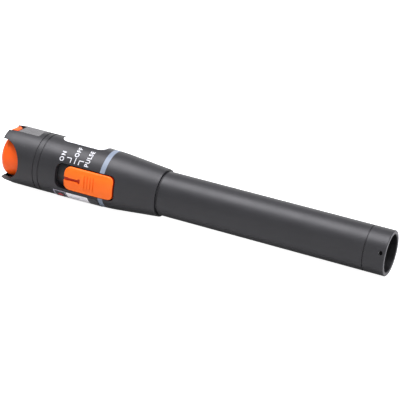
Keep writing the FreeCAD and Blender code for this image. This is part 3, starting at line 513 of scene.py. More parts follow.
cap_finish, shades, _ = anodised("anodised_cap")
# painted shade: below the cap's outer skin, in its cup and bore, the colour is darkened
shades = mixed(cap_finish, outer_skin(cap_finish, BORE_SHADE_R), PAINTED_BORE_SHADE, shades)
# painted highlight: the rim's end face is given a lighter colour
rim_highlight_mask = band(cap_finish, *RIM_FACE)
feed(cap_finish, "Base Color", mixed(cap_finish, rim_highlight_mask, shades, PAINTED_RIM_HIGHLIGHT))

crown_finish, shades, rough = anodised("anodised_crown")
flat_mask = maths(
    crown_finish,
    "MULTIPLY",
    band(crown_finish, FLAT_END, RIM + 1),
    level(crown_finish, FLAT_HEIGHT),
)
# painted sheen: the milled flat is given a lighter grey; its lower roughness, below, is real
feed(crown_finish, "Base Color", mixed(crown_finish, flat_mask, shades, MILLED_FLAT_SHEEN))
smoother = maths(crown_finish, "MULTIPLY_ADD", flat_mask, -MILLED_SHINE, rough)
feed(crown_finish, "Roughness", smoother)
print(f"crown's flat is {FLAT_HEIGHT:.2f} mm above the axis, from {FLAT_END} on")

# %% [markdown]
# ### Plastics, metals and the rest
#
# The lid and the button are moulded in a saturated orange that lets a little light in under its
# surface, so a trace of subsurface scattering keeps the shaded side warm. The button's marks are
# so narrow that little light reaches their floors, so its colour also darkens below the face.
# Most of the inner pieces share one recipe, because they differ only in their shades, how rough
# and how metallic they are, and the depth of their grain.

# %% Orange plastic
ORANGE = (1.0, 0.125, 0.004)
DEEP_ORANGE = (0.95, 0.10, 0.003)
BUTTON_ORANGE = (1.0, 0.165, 0.008)
DEEP_BUTTON_ORANGE = (0.98, 0.15, 0.006)
SHADOWED_ORANGE = (0.42, 0.022, 0.002)
SHADOWED_R = BUTTON_R - 0.7


def moulded_orange(name, colour, second):
    """Orange plastic, and the output that holds its colour."""
    material = plain(
        name,
        colour,
        0.42,
        Specular_IOR_Level=0.3,
        Subsurface_Weight=0.12,
        Subsurface_Scale=0.0012,
        Subsurface_Radius=(1, 0.3, 0.1),
    )
    grain(material, 0.25, 0.006)
    mottle(material, 6.0, 0.38, 0.48)
    return material, tint(material, 8.0, colour, second)


orange, _ = moulded_orange("orange_plastic", ORANGE, DEEP_ORANGE)
button_orange, shades = moulded_orange("button_plastic", BUTTON_ORANGE, DEEP_BUTTON_ORANGE)
proud = outer_skin(button_orange, SHADOWED_R)
feed(button_orange, "Base Color", mixed(button_orange, proud, SHADOWED_ORANGE, shades))
print(f"button darkens below a radius of {SHADOWED_R:.2f} mm")

# %% Finishes of the inner pieces
# Two shades and a roughness, then how metallic it is and how deep its grain, where that differs.
RECIPES = {
    "black_plastic": ((0.014, 0.014, 0.016), (0.022, 0.022, 0.024), 0.5),
    "spring_steel": ((0.56, 0.56, 0.57), (0.44, 0.44, 0.46), 0.3, 1.0),
    "plated_brass": ((0.66, 0.64, 0.60), (0.55, 0.53, 0.49), 0.22, 1.0),
    "bare_brass": ((0.75, 0.55, 0.24), (0.62, 0.43, 0.17), 0.3, 1.0),
    "white_ceramic": ((0.88, 0.88, 0.85), (0.82, 0.81, 0.77), 0.12, 0.0, 0.001),
    "seal_rubber": ((0.018, 0.018, 0.018), (0.03, 0.03, 0.03), 0.62, 0.0, 0.01),
    "component_black": ((0.02, 0.02, 0.022), (0.03, 0.03, 0.032), 0.55),
    "capacitor_can": ((0.7, 0.7, 0.72), (0.6, 0.6, 0.62), 0.28, 1.0),
    "trimmer_blue": ((0.03, 0.12, 0.5), (0.04, 0.16, 0.58), 0.35),
    "board_laminate": ((0.012, 0.13, 0.055), (0.02, 0.17, 0.075), 0.38),
}


def grained(name, colour, roughness, metallic=0.0, depth=0.004):
    """A material of one colour, with a grain and a roughness that wanders."""
    material = plain(name, colour, roughness, metallic)
    grain(material, 0.2, depth)
    mottle(material, 5.0, roughness * 0.85, roughness * 1.15)
    return material


def finish_with(name, colour, second, roughness, metallic=0.0, depth=0.004):
    """A grained finish whose colour drifts between two shades."""
    material = grained(name, colour, roughness, metallic, depth)
    tint(material, 4.0, colour, second)
    return material


finishes = {slot: finish_with(slot, *recipe) for slot, recipe in RECIPES.items()}
glass = plain("lens_glass", (0.92, 0.95, 1.0), 0.03, Transmission_Weight=1.0, IOR=1.52)
grain(glass, 0.5, 0.0003)
finishes["lens_glass"] = glass
print(len(finishes), "finishes made")

# %% Finish of the cells
# A printed film: dark along most of the cell, with a copper-toned band at the positive end.
FILM_DARK, FILM_GREY = (0.02, 0.022, 0.026), (0.03, 0.032, 0.036)
COPPER = (0.55, 0.27, 0.10)
TERMINAL_GREY = (0.6, 0.6, 0.6)
FILM_SPLIT = 0.7
COPPER_END, TERMINAL = 1.6, 1.1  # both measured back from the positive end

film = grained("cell_sleeve", FILM_DARK, 0.3, depth=0.002)
shades = tint(film, 6.0, FILM_DARK, FILM_GREY)
for cell_node in ("battery_rear", "battery_front"):
    tail_end, head_end = span(cell_node)
    split = tail_end + (head_end - tail_end) * FILM_SPLIT
    shades = mixed(film, band(film, split, head_end - COPPER_END), shades, COPPER)
    shades = mixed(film, band(film, head_end - TERMINAL, head_end), shades, TERMINAL_GREY)
feed(film, "Base Color", shades)
finishes["cell_sleeve"] = film

for subpart in frame["record"]["subparts"]:
    dressed = finishes.get(subpart["material_slot"])
    if dressed:
        node_object = frame["nodes"][subpart["node"]]
        node_object.data.materials.clear()
        node_object.data.materials.append(dressed)
print(len(finishes), "finishes given to the inner pieces")

# %% [markdown]
# ## Barrel
#
# On the real pen this is a drawn tube, turned down at both ends. A circle is carried along the
# profile and back through the bore, so the wall has its true thickness wherever the tail cap or
# the head is taken off. The narrow grooves stay square, as a parting tool leaves them, and the
# bevel gives their lips a fine edge. The screw threads are rings of the same pitch: their helix is
# too fine to see, but their teeth aren't.

# %% Screw thread
PITCH = 0.8
TOOTH = 0.3
TOOTH_CORNERS = ((0, 0), (0.2, 0), (0.5, 1), (0.7, 1))  # shares of the pitch and of the tooth


def thread(start, end, radius, tooth):
    """Profile corners of a thread: teeth of one pitch between two stations."""
    count = int((end - start) / PITCH)
    corners = []
    for index in range(count):
        valley = start + index * PITCH
        corners += [(valley + PITCH * x, radius + tooth * y) for x, y in TOOTH_CORNERS]
    return corners + [(start + count * PITCH, radius), (end, radius)]


print("thread of", PITCH, "mm pitch, with teeth", TOOTH, "mm deep")

# %% Barrel
JOINT_GROOVE = 0.35
JOINT_FLOOR = BARREL_R - 0.5
TAIL_GROOVE = 0.18
TAIL_FLOOR = BARREL_R - 0.4
BORE_R = 8.0
THREAD_R = 8.6
SPIGOT_R = 8.85
SOCKET_LEAD = 1.6
SOCKET_END = 14.8

tail_thread = thread(CAP_LENGTH + SOCKET_LEAD, SOCKET_END, THREAD_R, TOOTH)
barrel = turned(
    "barrel",
    [
        (CAP_LENGTH, THREAD_R),
        (CAP_LENGTH, TAIL_FLOOR),
        (CAP_LENGTH + TAIL_GROOVE, TAIL_FLOOR),
        (CAP_LENGTH + TAIL_GROOVE, BARREL_R),
        (JOINT - JOINT_GROOVE, BARREL_R),
        (JOINT - JOINT_GROOVE, JOINT_FLOOR),
        (JOINT, JOINT_FLOOR),
        (JOINT, SPIGOT_R),
        (FRONT_SPIGOT_END, SPIGOT_R),
        (FRONT_SPIGOT_END, BORE_R),
        (SOCKET_END, BORE_R),
        *tail_thread[::-1],
    ],
)
soften(barrel, width=0.05)
finish(barrel, body_finish, "pen", "anodised_body", "barrel_tube")

# %% [markdown]
# ## Tail cap
#
# An open cup at the back, where the knot of a wrist strap can hide, and a threaded spigot in front
# that closes the battery circuit. The small hole through the cup's wall takes the strap. The rim
# gets the widest chamfer of the whole pen, and its end face carries a painted highlight.

# %% Tail cap
CHAMFER = 0.3
RECESS_R = 7.95
RECESS_DEPTH = 7.3
PLATE_STATION = RECESS_DEPTH + 2.1
POCKET_R = 6.6
SEAL_FLOOR = 7.6
SEAL_WIDTH = 1.1
CAP_LEAD = 1.5
CAP_THREAD_R = THREAD_R - 0.05
SPIGOT_END = span("tail_cap")[1]
CENTRE_R = 0.6

cap_thread = thread(CAP_LENGTH + CAP_LEAD, SPIGOT_END - CHAMFER, CAP_THREAD_R, -TOOTH)
cap = turned(
    "tail_cup",
    [
        (RECESS_DEPTH, CENTRE_R),
        (RECESS_DEPTH, RECESS_R),
        (CHAMFER, RECESS_R),
        (0, RECESS_R + CHAMFER),
        (0, BARREL_R - CHAMFER),
        (CHAMFER, BARREL_R),
        (CAP_LENGTH - TAIL_GROOVE, BARREL_R),
        (CAP_LENGTH - TAIL_GROOVE, TAIL_FLOOR),
        (CAP_LENGTH, TAIL_FLOOR),
        (CAP_LENGTH, SEAL_FLOOR),
        (CAP_LENGTH + SEAL_WIDTH, SEAL_FLOOR),
        *cap_thread,
        (SPIGOT_END, CAP_THREAD_R - CHAMFER),
        (SPIGOT_END, POCKET_R),
        (PLATE_STATION, POCKET_R),
        (PLATE_STATION, CENTRE_R),
    ],
    ending="cap",
)
print(f"cup {RECESS_DEPTH} mm deep, spigot to {SPIGOT_END:.1f}")

# %% The strap hole
STRAP_STATION, STRAP_ANGLE, STRAP_R = 2.0, 73.5, 0.9
STRAP_DRILLING = 6


def drill(name, place, direction, radius, depth, steps=48):
    """A round cutter, centred at a place and turned along a direction."""
    bpy.ops.object.select_all(action="DESELECT")
    turn = Vector(direction).to_track_quat("Z", "Y").to_euler()
    bpy.ops.mesh.primitive_cylinder_add(
        vertices=steps, radius=radius * MM, depth=depth * MM, location=place, rotation=turn
    )
    return settle(name)


hole_place = on_skin(STRAP_STATION, STRAP_ANGLE, BARREL_R)
outwards = hole_place - on_axis(STRAP_STATION)
cut(cap, drill("strap_drill", hole_place, outwards, STRAP_R, STRAP_DRILLING))
soften(cap, width=0.07)
finish(cap, cap_finish, "tail_cap", "anodised_body", "tail_cap")

# %% [markdown]
# ## Head shell
#
# The head flares from the barrel's joint to a shoulder, then runs almost straight to the crown. The
# cone meets the straight run in a long gentle curve. It is a parabola here, cut into short steps
# that smooth shading hides. The switch window is a rounded slot milled from the side, so the cutter
# is a flat outline with its corners bevelled round, pushed through the wall.

# %% Head shell
NECK_R = 10.4
CONE_END, CONE_R = 119.5, 12.13
BLEND_LENGTH = 10.0
BLEND_STEPS = 12
RUN_START, RUN_R = CONE_END + BLEND_LENGTH, HEAD_R - 0.2
RELIEF = 0.35
GROOVE = (156.175, 156.625)
CAVITY_R = 10.398
THROAT_R = 8.4
THROAT_END = 113.0
SOCKET_R = 8.9
SOCKET_FLOOR = 109.0
HEAD_STEPS = 256

cone_slope = (CONE_R - NECK_R) / (CONE_END - JOINT - JOINT_GROOVE)
blend = []
for step in range(BLEND_STEPS + 1):
    along = step / BLEND_STEPS
    rise = cone_slope * BLEND_LENGTH * (along - along * along / 2)
    blend.append((CONE_END + BLEND_LENGTH * along, CONE_R + rise))
head = turned(
    "head",
    [
        (JOINT + JOINT_GROOVE, JOINT_FLOOR),
        (JOINT + JOINT_GROOVE, NECK_R),
        *blend,
        (GROOVE[0], HEAD_R),
        (GROOVE[0], HEAD_R - RELIEF),
        (GROOVE[1], HEAD_R - RELIEF),
        (GROOVE[1], HEAD_R),
        (PARTING, HEAD_R),
        (PARTING, CAVITY_R),
        (THROAT_END, CAVITY_R),
        (THROAT_END, THROAT_R),
        (SOCKET_FLOOR, THROAT_R),
        (SOCKET_FLOOR, SOCKET_R),
        (JOINT, SOCKET_R),
        (JOINT, JOINT_FLOOR),
    ],
    steps=HEAD_STEPS,
)
print(f"shoulder reaches {blend[-1][1]:.2f} mm in radius at {RUN_START}")

# %% The switch window
WINDOW = (119.7, 147.8)
WINDOW_WIDTH = 11.3
WINDOW_CORNER = 2.6
WINDOW_DEPTHS = (5, 20)


def rounded_block(name, stations, width, corner, reach):
    """A block on the switch side, rounded in outline, from one radius out to another."""
    bpy.ops.object.select_all(action="DESELECT")
    middle = on_axis(sum(stations) / 2) - Vector((0, reach[0] * MM, 0))
    bpy.ops.mesh.primitive_plane_add(size=1, location=middle, rotation=(math.pi / 2, 0, 0))
    block = settle(name, ((stations[1] - stations[0]) * MM, width * MM, 1))
    edit(block)
    bpy.ops.mesh.bevel(offset=corner * MM, segments=10, affect="VERTICES")
    bpy.ops.mesh.select_all(action="SELECT")
    push = (0, -(reach[1] - reach[0]) * MM, 0)
    bpy.ops.mesh.extrude_region_move(TRANSFORM_OT_translate={"value": push})
    bpy.ops.mesh.select_all(action="SELECT")
    bpy.ops.mesh.normals_make_consistent(inside=False)
    bpy.ops.object.mode_set(mode="OBJECT")
    return block


cut(head, rounded_block("window_cutter", WINDOW, WINDOW_WIDTH, WINDOW_CORNER, WINDOW_DEPTHS))
soften(head, width=0.14)
finish(head, head_finish, "pen", "anodised_body", "head_shell")

# %% [markdown]
# ## Crown
#
# The crown screws into the head and guards the lid. Two U-shaped notches, milled straight across,
# leave a prong above and a prong below; the flat and the slot on the upper prong seat the hinge.
# The real part is turned first and milled afterwards, and the model is made in that order too.

# %% Crown, turned
CROWN_BORE = 10.8
WEB_FRONT, WEB_REAR = 166.0, 163.0
REAR_BORE = 8.6
SHANK_HOLE = 4.0
CROWN_SPIGOT_R = CAVITY_R - 0.05
LINE_END = PARTING + 0.45
TAPER = (RIM - 5.0, RIM - 0.4)
RIM_R = HEAD_R - 0.45
BREAK = 0.4

crown = turned(
    "crown_guard",
    [
        (PARTING, CROWN_SPIGOT_R),
        (PARTING, HEAD_R - RELIEF),
        (LINE_END, HEAD_R - RELIEF),
        (LINE_END, HEAD_R),
        (TAPER[0], HEAD_R),
        (TAPER[1], RIM_R),
        (RIM, RIM_R - BREAK),
        (RIM, CROWN_BORE + BREAK),
        (RIM - BREAK, CROWN_BORE),
        (WEB_FRONT, CROWN_BORE),
        (WEB_FRONT, SHANK_HOLE),
        (WEB_REAR, SHANK_HOLE),
        (WEB_REAR, REAR_BORE),
        (CROWN_TAIL, REAR_BORE),
        (CROWN_TAIL, CROWN_SPIGOT_R),
    ],
    steps=HEAD_STEPS,
)
print(f"crown turned from {CROWN_TAIL:.1f} to {RIM:.1f}")

# %% Crown, milled
NOTCH_R = 8.9
NOTCH_CENTRE = RIM - 1.6
SLOT_END, SLOT_WIDTH = 171.9, 8.0
PIN_PLAY = 0.04
BEYOND = 12.0  # how far a cutter runs out past the rim


def mill(name, stations, across, heights):
    """A square cutter between two stations, two widths and two heights, in millimetres."""
    bpy.ops.object.select_all(action="DESELECT")
    sizes = [pair[1] - pair[0] for pair in (stations, across, heights)]
    middle = on_axis(sum(stations) / 2)
    middle += Vector((0, sum(across) / 2 * MM, sum(heights) / 2 * MM))
    bpy.ops.mesh.primitive_cube_add(size=1, location=middle, scale=[s * MM for s in sizes])
    return settle(name)


wide = (-HEAD_R * 1.5, HEAD_R * 1.5)
half_slot = (-SLOT_WIDTH / 2, SLOT_WIDTH / 2)
cut(crown, drill("notch_end", on_axis(NOTCH_CENTRE), (0, 1, 0), NOTCH_R, 3 * HEAD_R, 160))
cut(crown, mill("notch", (NOTCH_CENTRE, RIM + BEYOND), wide, (-NOTCH_R, NOTCH_R)))
cut(crown, mill("flat", (FLAT_END, RIM + BEYOND), wide, (FLAT_HEIGHT, FLAT_HEIGHT + HEAD_R)))
cut(crown, mill("slot", (SLOT_END, RIM + BEYOND), half_slot, (HEAD_R / 2, HEAD_R * 1.5)))
pin_place = Vector((on_axis(PIN_STATION).x, AXIS_Y, PIN_HEIGHT))
hole_middle = Vector((pin_place.x, pin_low.y + HEAD_R * MM, PIN_HEIGHT))
cut(crown, drill("pin_hole", hole_middle, (0, 1, 0), PIN_R + PIN_PLAY, 2 * HEAD_R))
soften(crown, width=0.16)
finish(crown, crown_finish, "pen", "anodised_body", "crown")

# %% [markdown]
# ## Flip lid
#
# A moulded orange cap with an even wall. Only the outside is drawn: a skirt, a tight corner arc
# and a flatter arc over the front, closed in a point at the pole. Solidify then gives the wall, as
# a moulder would think of it. The two scoops beside the knuckle are what lets the lid swing past
# the prong. The knuckle is a cylinder joined on by a short arm, with a small heel behind it. All
# three stop short of the slot's far wall, and the heel most, which leaves a dark gap there.

# %% Lid shell
LID_R = 9.7
LID_CORNER = 3.0
LID_DOME = 5.1
LID_WALL = 1.4
DRAFT = 0.4
EQUATOR = APEX - LID_DOME
run, reach = LID_R - LID_CORNER, LID_DOME - LID_CORNER
FRONT_R = (run * run + reach * reach) / (2 * reach) + LID_CORNER
front_centre = APEX - FRONT_R
meeting = math.atan2(run, EQUATOR - front_centre)


def arc(station, radius, sweep, start, end, steps):
    """Corners along an arc about a centre, by angles from the pen's axis."""
    corners = []
    for step in range(steps + 1):
        angle = start + (end - start) * step / steps
        corners.append((station + sweep * math.cos(angle), radius + sweep * math.sin(angle)))
    return corners


lid = turned(
    "flip_lid",
    [
        (LID_BACK, LID_R - DRAFT),
        *arc(EQUATOR, LID_R - LID_CORNER, LID_CORNER, math.pi / 2, meeting, 10),
        *arc(front_centre, 0, FRONT_R, meeting, 0, 14)[1:],
    ],
    ending="pole",
)
modify(lid, "SOLIDIFY", thickness=LID_WALL * MM, offset=-1, use_even_offset=True)
print(f"lid's front arc has a radius of {FRONT_R:.1f} mm")

# %% Lid knuckle
SCOOP_R = 2.9
KNUCKLE_R = 1.45
KNUCKLE_WIDTH = 7.4
KNUCKLE_SIDES = (-KNUCKLE_WIDTH / 2, 2.0)
HEEL_REACH = 2.1
HEEL_RISE = 0.2
HEEL_SIDES = (-KNUCKLE_WIDTH / 2, 0.6)

side_step = (KNUCKLE_WIDTH / 2 + LID_R / 2) * MM
for side in (-1, 1):
    scoop_place = pin_place + Vector((0, side * side_step, 0))
    cut(lid, drill("scoop", scoop_place, (0, 1, 0), SCOOP_R, LID_R, 96))
pin_level = (PIN_HEIGHT - AXIS_Z) / MM
arm_stations = (PIN_STATION - KNUCKLE_R, PIN_STATION + KNUCKLE_R)
arm_heights = (LID_R - LID_WALL / 2, pin_level)
knuckle_middle = pin_place + Vector((0, sum(KNUCKLE_SIDES) / 2 * MM, 0))
knuckle_length = KNUCKLE_SIDES[1] - KNUCKLE_SIDES[0]
heel_stations = (PIN_STATION - HEEL_REACH, PIN_STATION)
heel_heights = (pin_level + HEEL_RISE, pin_level + KNUCKLE_R)
arm = mill("arm", arm_stations, KNUCKLE_SIDES, arm_heights)
knuckle = drill("knuckle", knuckle_middle, (0, 1, 0), KNUCKLE_R, knuckle_length, 96)
heel = mill("heel", heel_stations, HEEL_SIDES, heel_heights)
for added in (arm, knuckle, heel):
    combine(lid, added, "UNION")
cut(lid, drill("bore", pin_place, (0, 1, 0), PIN_R + PIN_PLAY, 2 * KNUCKLE_WIDTH))
soften(lid, width=0.2, angle=32)
finish(lid, orange, "lid", "orange_plastic", "dust_lid")

# %% [markdown]
# ## Slide button
#
# The button fills the window's width and follows the head's own curve on the outside, a little
# proud of it. A rounded block gives the outline, and the outside comes from keeping only what lies
# in a turned ring, which is how the two surfaces stay parallel. Then come the marks for the thumb:
# a shallow dish, a few grip lines, and a groove that opens towards the crown. The rim is rounded
# last, by edge weights, because a bevel by angle would also round the marks as widely.

# %% Button block
SHUTTER_R = 10.15
BUTTON_WIDTH = WINDOW_WIDTH - 0.8
BUTTON_DEPTHS = (6, 18)
BUTTON_TAIL_R = CONE_R + 0.5
CREST = BUTTON_TAIL + 6.3

button = rounded_block(
    "switch_button", (BUTTON_TAIL, BUTTON_HEAD), BUTTON_WIDTH, WINDOW_CORNER, BUTTON_DEPTHS
)
ring = turned(
    "button_ring",
    [
        (BUTTON_TAIL - 1, SHUTTER_R),
        (BUTTON_TAIL - 1, BUTTON_TAIL_R),
        (CREST, BUTTON_R),
        (BUTTON_HEAD + 1, BUTTON_R),
        (BUTTON_HEAD + 1, SHUTTER_R),
    ],
    steps=72,
)
combine(button, ring, "INTERSECT")
print(f"button block is {BUTTON_HEAD - BUTTON_TAIL:.1f} by {BUTTON_WIDTH:.1f} mm")

# %% Marks for the thumb
DISH_DEPTH = 0.22
DISH_HALF_LENGTH = 4.6
DISH_STATION = 131.4
GRIPS = 4
GRIP_START = BUTTON_TAIL + 8.6
GRIP_PITCH, GRIP_WIDTH = 1.45, 0.55
GRIP_HALF = 4.2
GRIP_FLOOR = BUTTON_R - 0.5
GROOVE_TAIL = BUTTON_HEAD - 7.6
GROOVE_FLOOR = BUTTON_R - 0.8
GROOVE_PARTS = (  # two stations and half a width each: the bar, the stem and the mouth
    ((GROOVE_TAIL - 0.2, GROOVE_TAIL + 0.9), 1.1),
    ((GROOVE_TAIL + 0.8, BUTTON_HEAD - 2.1), 0.65),
    ((BUTTON_HEAD - 2.2, BUTTON_HEAD + 1), 0.8),
)
MARK_CUTTER = 4

dish_r = (DISH_HALF_LENGTH**2 + DISH_DEPTH**2) / (2 * DISH_DEPTH)
dish_place = on_axis(DISH_STATION) - Vector((0, (BUTTON_R - DISH_DEPTH + dish_r) * MM, 0))
cut(button, drill("dish", dish_place, (0, 0, 1), dish_r, 2 * HEAD_R, 512))


def mark(stations, half_width, floor_r):
    """Cut a square-bottomed mark into the button's face."""
    across = (-floor_r - MARK_CUTTER, -floor_r)
    cut(button, mill("mark", stations, across, (-half_width, half_width)))


for index in range(GRIPS):
    line = GRIP_START + index * GRIP_PITCH
    mark((line, line + GRIP_WIDTH), GRIP_HALF, GRIP_FLOOR)
for stations, half_width in GROOVE_PARTS:
    mark(stations, half_width, GROOVE_FLOOR)
print(f"dish of radius {dish_r:.1f} mm, {GRIPS} grip lines and a groove")

# %% Rounding the button's rim
RIM_ROUNDING = 0.42
RIM_SLACK = 0.02
FACE_SLACK = 0.2
rim_middle = on_axis((BUTTON_HEAD + BUTTON_TAIL) / 2)
straight_length = (BUTTON_HEAD - BUTTON_TAIL) / 2 - WINDOW_CORNER
straight_width = BUTTON_WIDTH / 2 - WINDOW_CORNER


def on_rim(point):
    """True for a point where the button's side wall meets its outer face."""
    offset = (point - rim_middle) / MM
    past = (max(abs(offset.x) - straight_length, 0), max(abs(offset.z) - straight_width, 0))
    at_wall = abs(math.hypot(*past) - WINDOW_CORNER) < RIM_SLACK
    lowest = BUTTON_R - FACE_SLACK if offset.x < 0 else CONE_R
    return at_wall and math.hypot(offset.y, offset.z) > lowest


weights = button.data.attributes.new("bevel_weight_edge", "FLOAT", "EDGE")
for edge in button.data.edges:
    if all(on_rim(button.data.vertices[index].co) for index in edge.vertices):
        weights.data[edge.index].value = 1
modify(
    button,
    "BEVEL",
    width=RIM_ROUNDING * MM,
    segments=5,
    limit_method="WEIGHT",
    use_clamp_overlap=False,
)
soften(button, width=0.05, angle=40)
finish(button, button_orange, "slider", "orange_plastic", "slide_button")

# %% [markdown]
# ## Print and labels
#
# The words beside the switch are printed on the metal, and two film labels are stuck over and under
# it. Flat artwork is drawn first, as a sign-writer would, then laid on the head: each point's
# height becomes an arc length round the axis. Blender's bend works on a cylinder, and the head is
# slightly conical, so that last step is a short loop over the vertices. The flat shape is first
# sliced into narrow strips, or its long faces would cut under the curve.

# %% Wrapping flat artwork
STRIP = 0.6
INK_THICKNESS = 0.04
SMOOTH_PRINT = math.radians(30)


def head_radius(station):
    """Radius of the head's long run at a station."""
    share = (station - RUN_START) / (GROOVE[0] - RUN_START)
    return RUN_R + (HEAD_R - RUN_R) * share


def wrap(piece, station, angle, height, thickness=INK_THICKNESS):
    """Lay a flat shape on the head. Its x runs up round the axis and its y runs to the crown."""
    low = min(v.co.x for v in piece.data.vertices)
    high = max(v.co.x for v in piece.data.vertices)
    edit(piece)
    for index in range(1, math.ceil((high - low) / (STRIP * MM))):
        bpy.ops.mesh.select_all(action="SELECT")
        line = low + index * STRIP * MM
        bpy.ops.mesh.bisect(plane_co=(line, 0, 0), plane_no=(1, 0, 0))
    bpy.ops.mesh.select_all(action="SELECT")
    bpy.ops.mesh.remove_doubles(threshold=WELD)
    bpy.ops.object.mode_set(mode="OBJECT")
    for vertex in piece.data.vertices:
        along = station + vertex.co.y / MM
        radius = head_radius(along)
        turn = angle - math.degrees(vertex.co.x / MM / radius)
        vertex.co = on_skin(along, turn, radius + height)
    modify(piece, "SOLIDIFY", thickness=thickness * MM, offset=-1)
    only(piece)
    bpy.ops.object.shade_smooth_by_angle(angle=SMOOTH_PRINT)


def bar(name, x, y, corner=0.0):
    """A flat rectangle between two x and two y values, in millimetres, with rounded corners."""
    bpy.ops.object.select_all(action="DESELECT")
    middle = (sum(x) / 2 * MM, sum(y) / 2 * MM, 0)
    bpy.ops.mesh.primitive_plane_add(size=1, location=middle)
    piece = settle(name, ((x[1] - x[0]) * MM, (y[1] - y[0]) * MM, 1))
    if corner:
        edit(piece)
        bpy.ops.mesh.bevel(offset=corner * MM, segments=8, affect="VERTICES")
        bpy.ops.object.mode_set(mode="OBJECT")
    return piece


print(f"head's run grows from {RUN_R:.2f} to {HEAD_R:.2f} mm in radius")

# %% Inks and films
white_ink = finish_with("white_ink", (0.72, 0.73, 0.76), (0.62, 0.63, 0.67), 0.5, depth=0.002)
white_film = finish_with("label_white", (0.96, 0.96, 0.98), (0.93, 0.93, 0.96), 0.3, depth=0.002)
dark_film = finish_with("label_dark", (0.035, 0.036, 0.042), (0.045, 0.046, 0.052), 0.3)
lilac_ink = finish_with("lilac_ink", (0.55, 0.52, 0.66), (0.60, 0.58, 0.70), 0.4)
grey_ink = finish_with("grey_ink", (0.42, 0.41, 0.46), (0.5, 0.49, 0.53), 0.4)
red_ink = finish_with("red_ink", (0.5, 0.03, 0.04), (0.42, 0.03, 0.04), 0.4)
print("two films and four inks made")

# %% Words beside the switch
LETTER_SIZE = 2.7
BOLDER = 0.055
PRINT_HEIGHT = 0.02
WORDS = (  # text, station, clock angle of its first letter and letter spacing
    ("ON", 146.2, 59.6, 1.35),
    ("OFF", 140.2, 44.6, 1.25),
    ("PULSE", 134.2, 59.2, 1.2),
)

for text, station, angle, spacing in WORDS:
    bpy.ops.object.select_all(action="DESELECT")
    bpy.ops.object.text_add()
    lettering = bpy.context.object.data
    lettering.body = text
    lettering.size = LETTER_SIZE * MM
    lettering.offset = BOLDER * MM
    lettering.space_character = spacing
    lettering.align_y = "CENTER"
    bpy.ops.object.convert(target="MESH")
    word = settle(f"print_{text.lower()}")
    wrap(word, station, angle, PRINT_HEIGHT)
    finish(word, white_ink, "pen", "label_white")

# %% Leader lines
HALF_LINE = 0.18


def leader(name, points):
    """Straight strokes from each (station, clock angle) to the next, square at the corners."""
    strokes = []
    for (s0, a0), (s1, a1) in zip(points, points[1:]):
        arc_length = math.radians(a0 - a1) * HEAD_R
        x = y = (-HALF_LINE, HALF_LINE)
        if abs(arc_length) > abs(s1 - s0):
            x = sorted((0, arc_length))
        else:
            y = sorted((0, s1 - s0))
        stroke = bar(name, x, y)
        wrap(stroke, s0, a0, PRINT_HEIGHT)
        strokes.append(stroke)
    only(strokes[0])
    for stroke in strokes:
        stroke.select_set(True)
    if len(strokes) > 1:
        bpy.ops.object.join()
    finish(strokes[0], white_ink, "pen", "label_white")


leader("leader_on", [(144.2, 49.4), (142.0, 49.4), (142.0, 58.6)])
leader("leader_off", [(140.0, 45.9), (140.0, 58.8)])
leader("leader_pulse", [(138.1, 59.0), (138.1, 50.0), (136.0, 50.0)])

# %% Label over the top
FILM_HEIGHT = 0.12
INK_HEIGHT = FILM_HEIGHT + 0.015
TOP_TAIL, TOP_HEAD = span("top_label")
TOP_NEAR, TOP_FAR = 11.5, -58.5
TOP_ARC = math.radians(TOP_NEAR - TOP_FAR) * HEAD_R
TOP_LENGTH = TOP_HEAD - TOP_TAIL - 0.6
TOP_ROUNDING = 3.2
RULES = 5
RULE_START, RULE_PITCH, RULE_WIDTH = 2.4, 2.6, 0.5
RULE_TAIL, RULE_HEAD, RULE_SHORTER = 3.0, 18.5, 2.5


def ink(name, label_corner, x, y, material, rounding=0.0, height=INK_HEIGHT):
    """A field of colour on a label, with x and y measured from one corner of the label."""
    piece = bar(name, x, y, rounding)
    wrap(piece, *label_corner, height)
    finish(piece, material, "pen", "label_white")


top_corner = (TOP_TAIL, TOP_NEAR)
top = bar("top_film", (0, TOP_ARC), (0, TOP_LENGTH), TOP_ROUNDING)
wrap(top, *top_corner, FILM_HEIGHT, FILM_HEIGHT)
finish(top, white_film, "pen", "label_white", "top_label")
for index in range(RULES):
    x0 = RULE_START + index * RULE_PITCH
    rule_end = RULE_HEAD - RULE_SHORTER * (index % 2)
    rule = (x0, x0 + RULE_WIDTH)
    ink(f"ruled_line_{index + 1}", top_corner, rule, (RULE_TAIL, rule_end), lilac_ink)

# %% Label under the switch
LOW_TAIL, LOW_HEAD = span("low_label")
LOW_NEAR, LOW_FAR = 123.4, 172.5
LOW_ARC = math.radians(LOW_FAR - LOW_NEAR) * HEAD_R
LOW_LENGTH = LOW_HEAD - LOW_TAIL
LOW_ROUNDING = 1.2
FIELD = (132.6 - LOW_TAIL, 143.1 - LOW_TAIL)
FIELD_SIDES = (-7.2, -0.3)
FIELD_ROUNDING = 0.3
FIELD_LINES = (-2.6, -4.4)
FIELD_LINE_WIDTH = 0.45
FIELD_LINE_ENDS = (FIELD[0] + 4.5, FIELD[1] - 1.2)
LINE_HEIGHT = INK_HEIGHT + 0.03
DIVIDER = (FIELD[1] + 0.35, FIELD[1] + 0.6)
BORDER_SIDES = (-0.5, -0.2)
BORDER_ENDS = (LOW_LENGTH - 0.75, LOW_LENGTH - 0.4)
FAR_SIDE = -LOW_ARC + 0.6
SPOT_PLACE = (-3.6, 146.4 - LOW_TAIL)
SPOT_R = 1.25

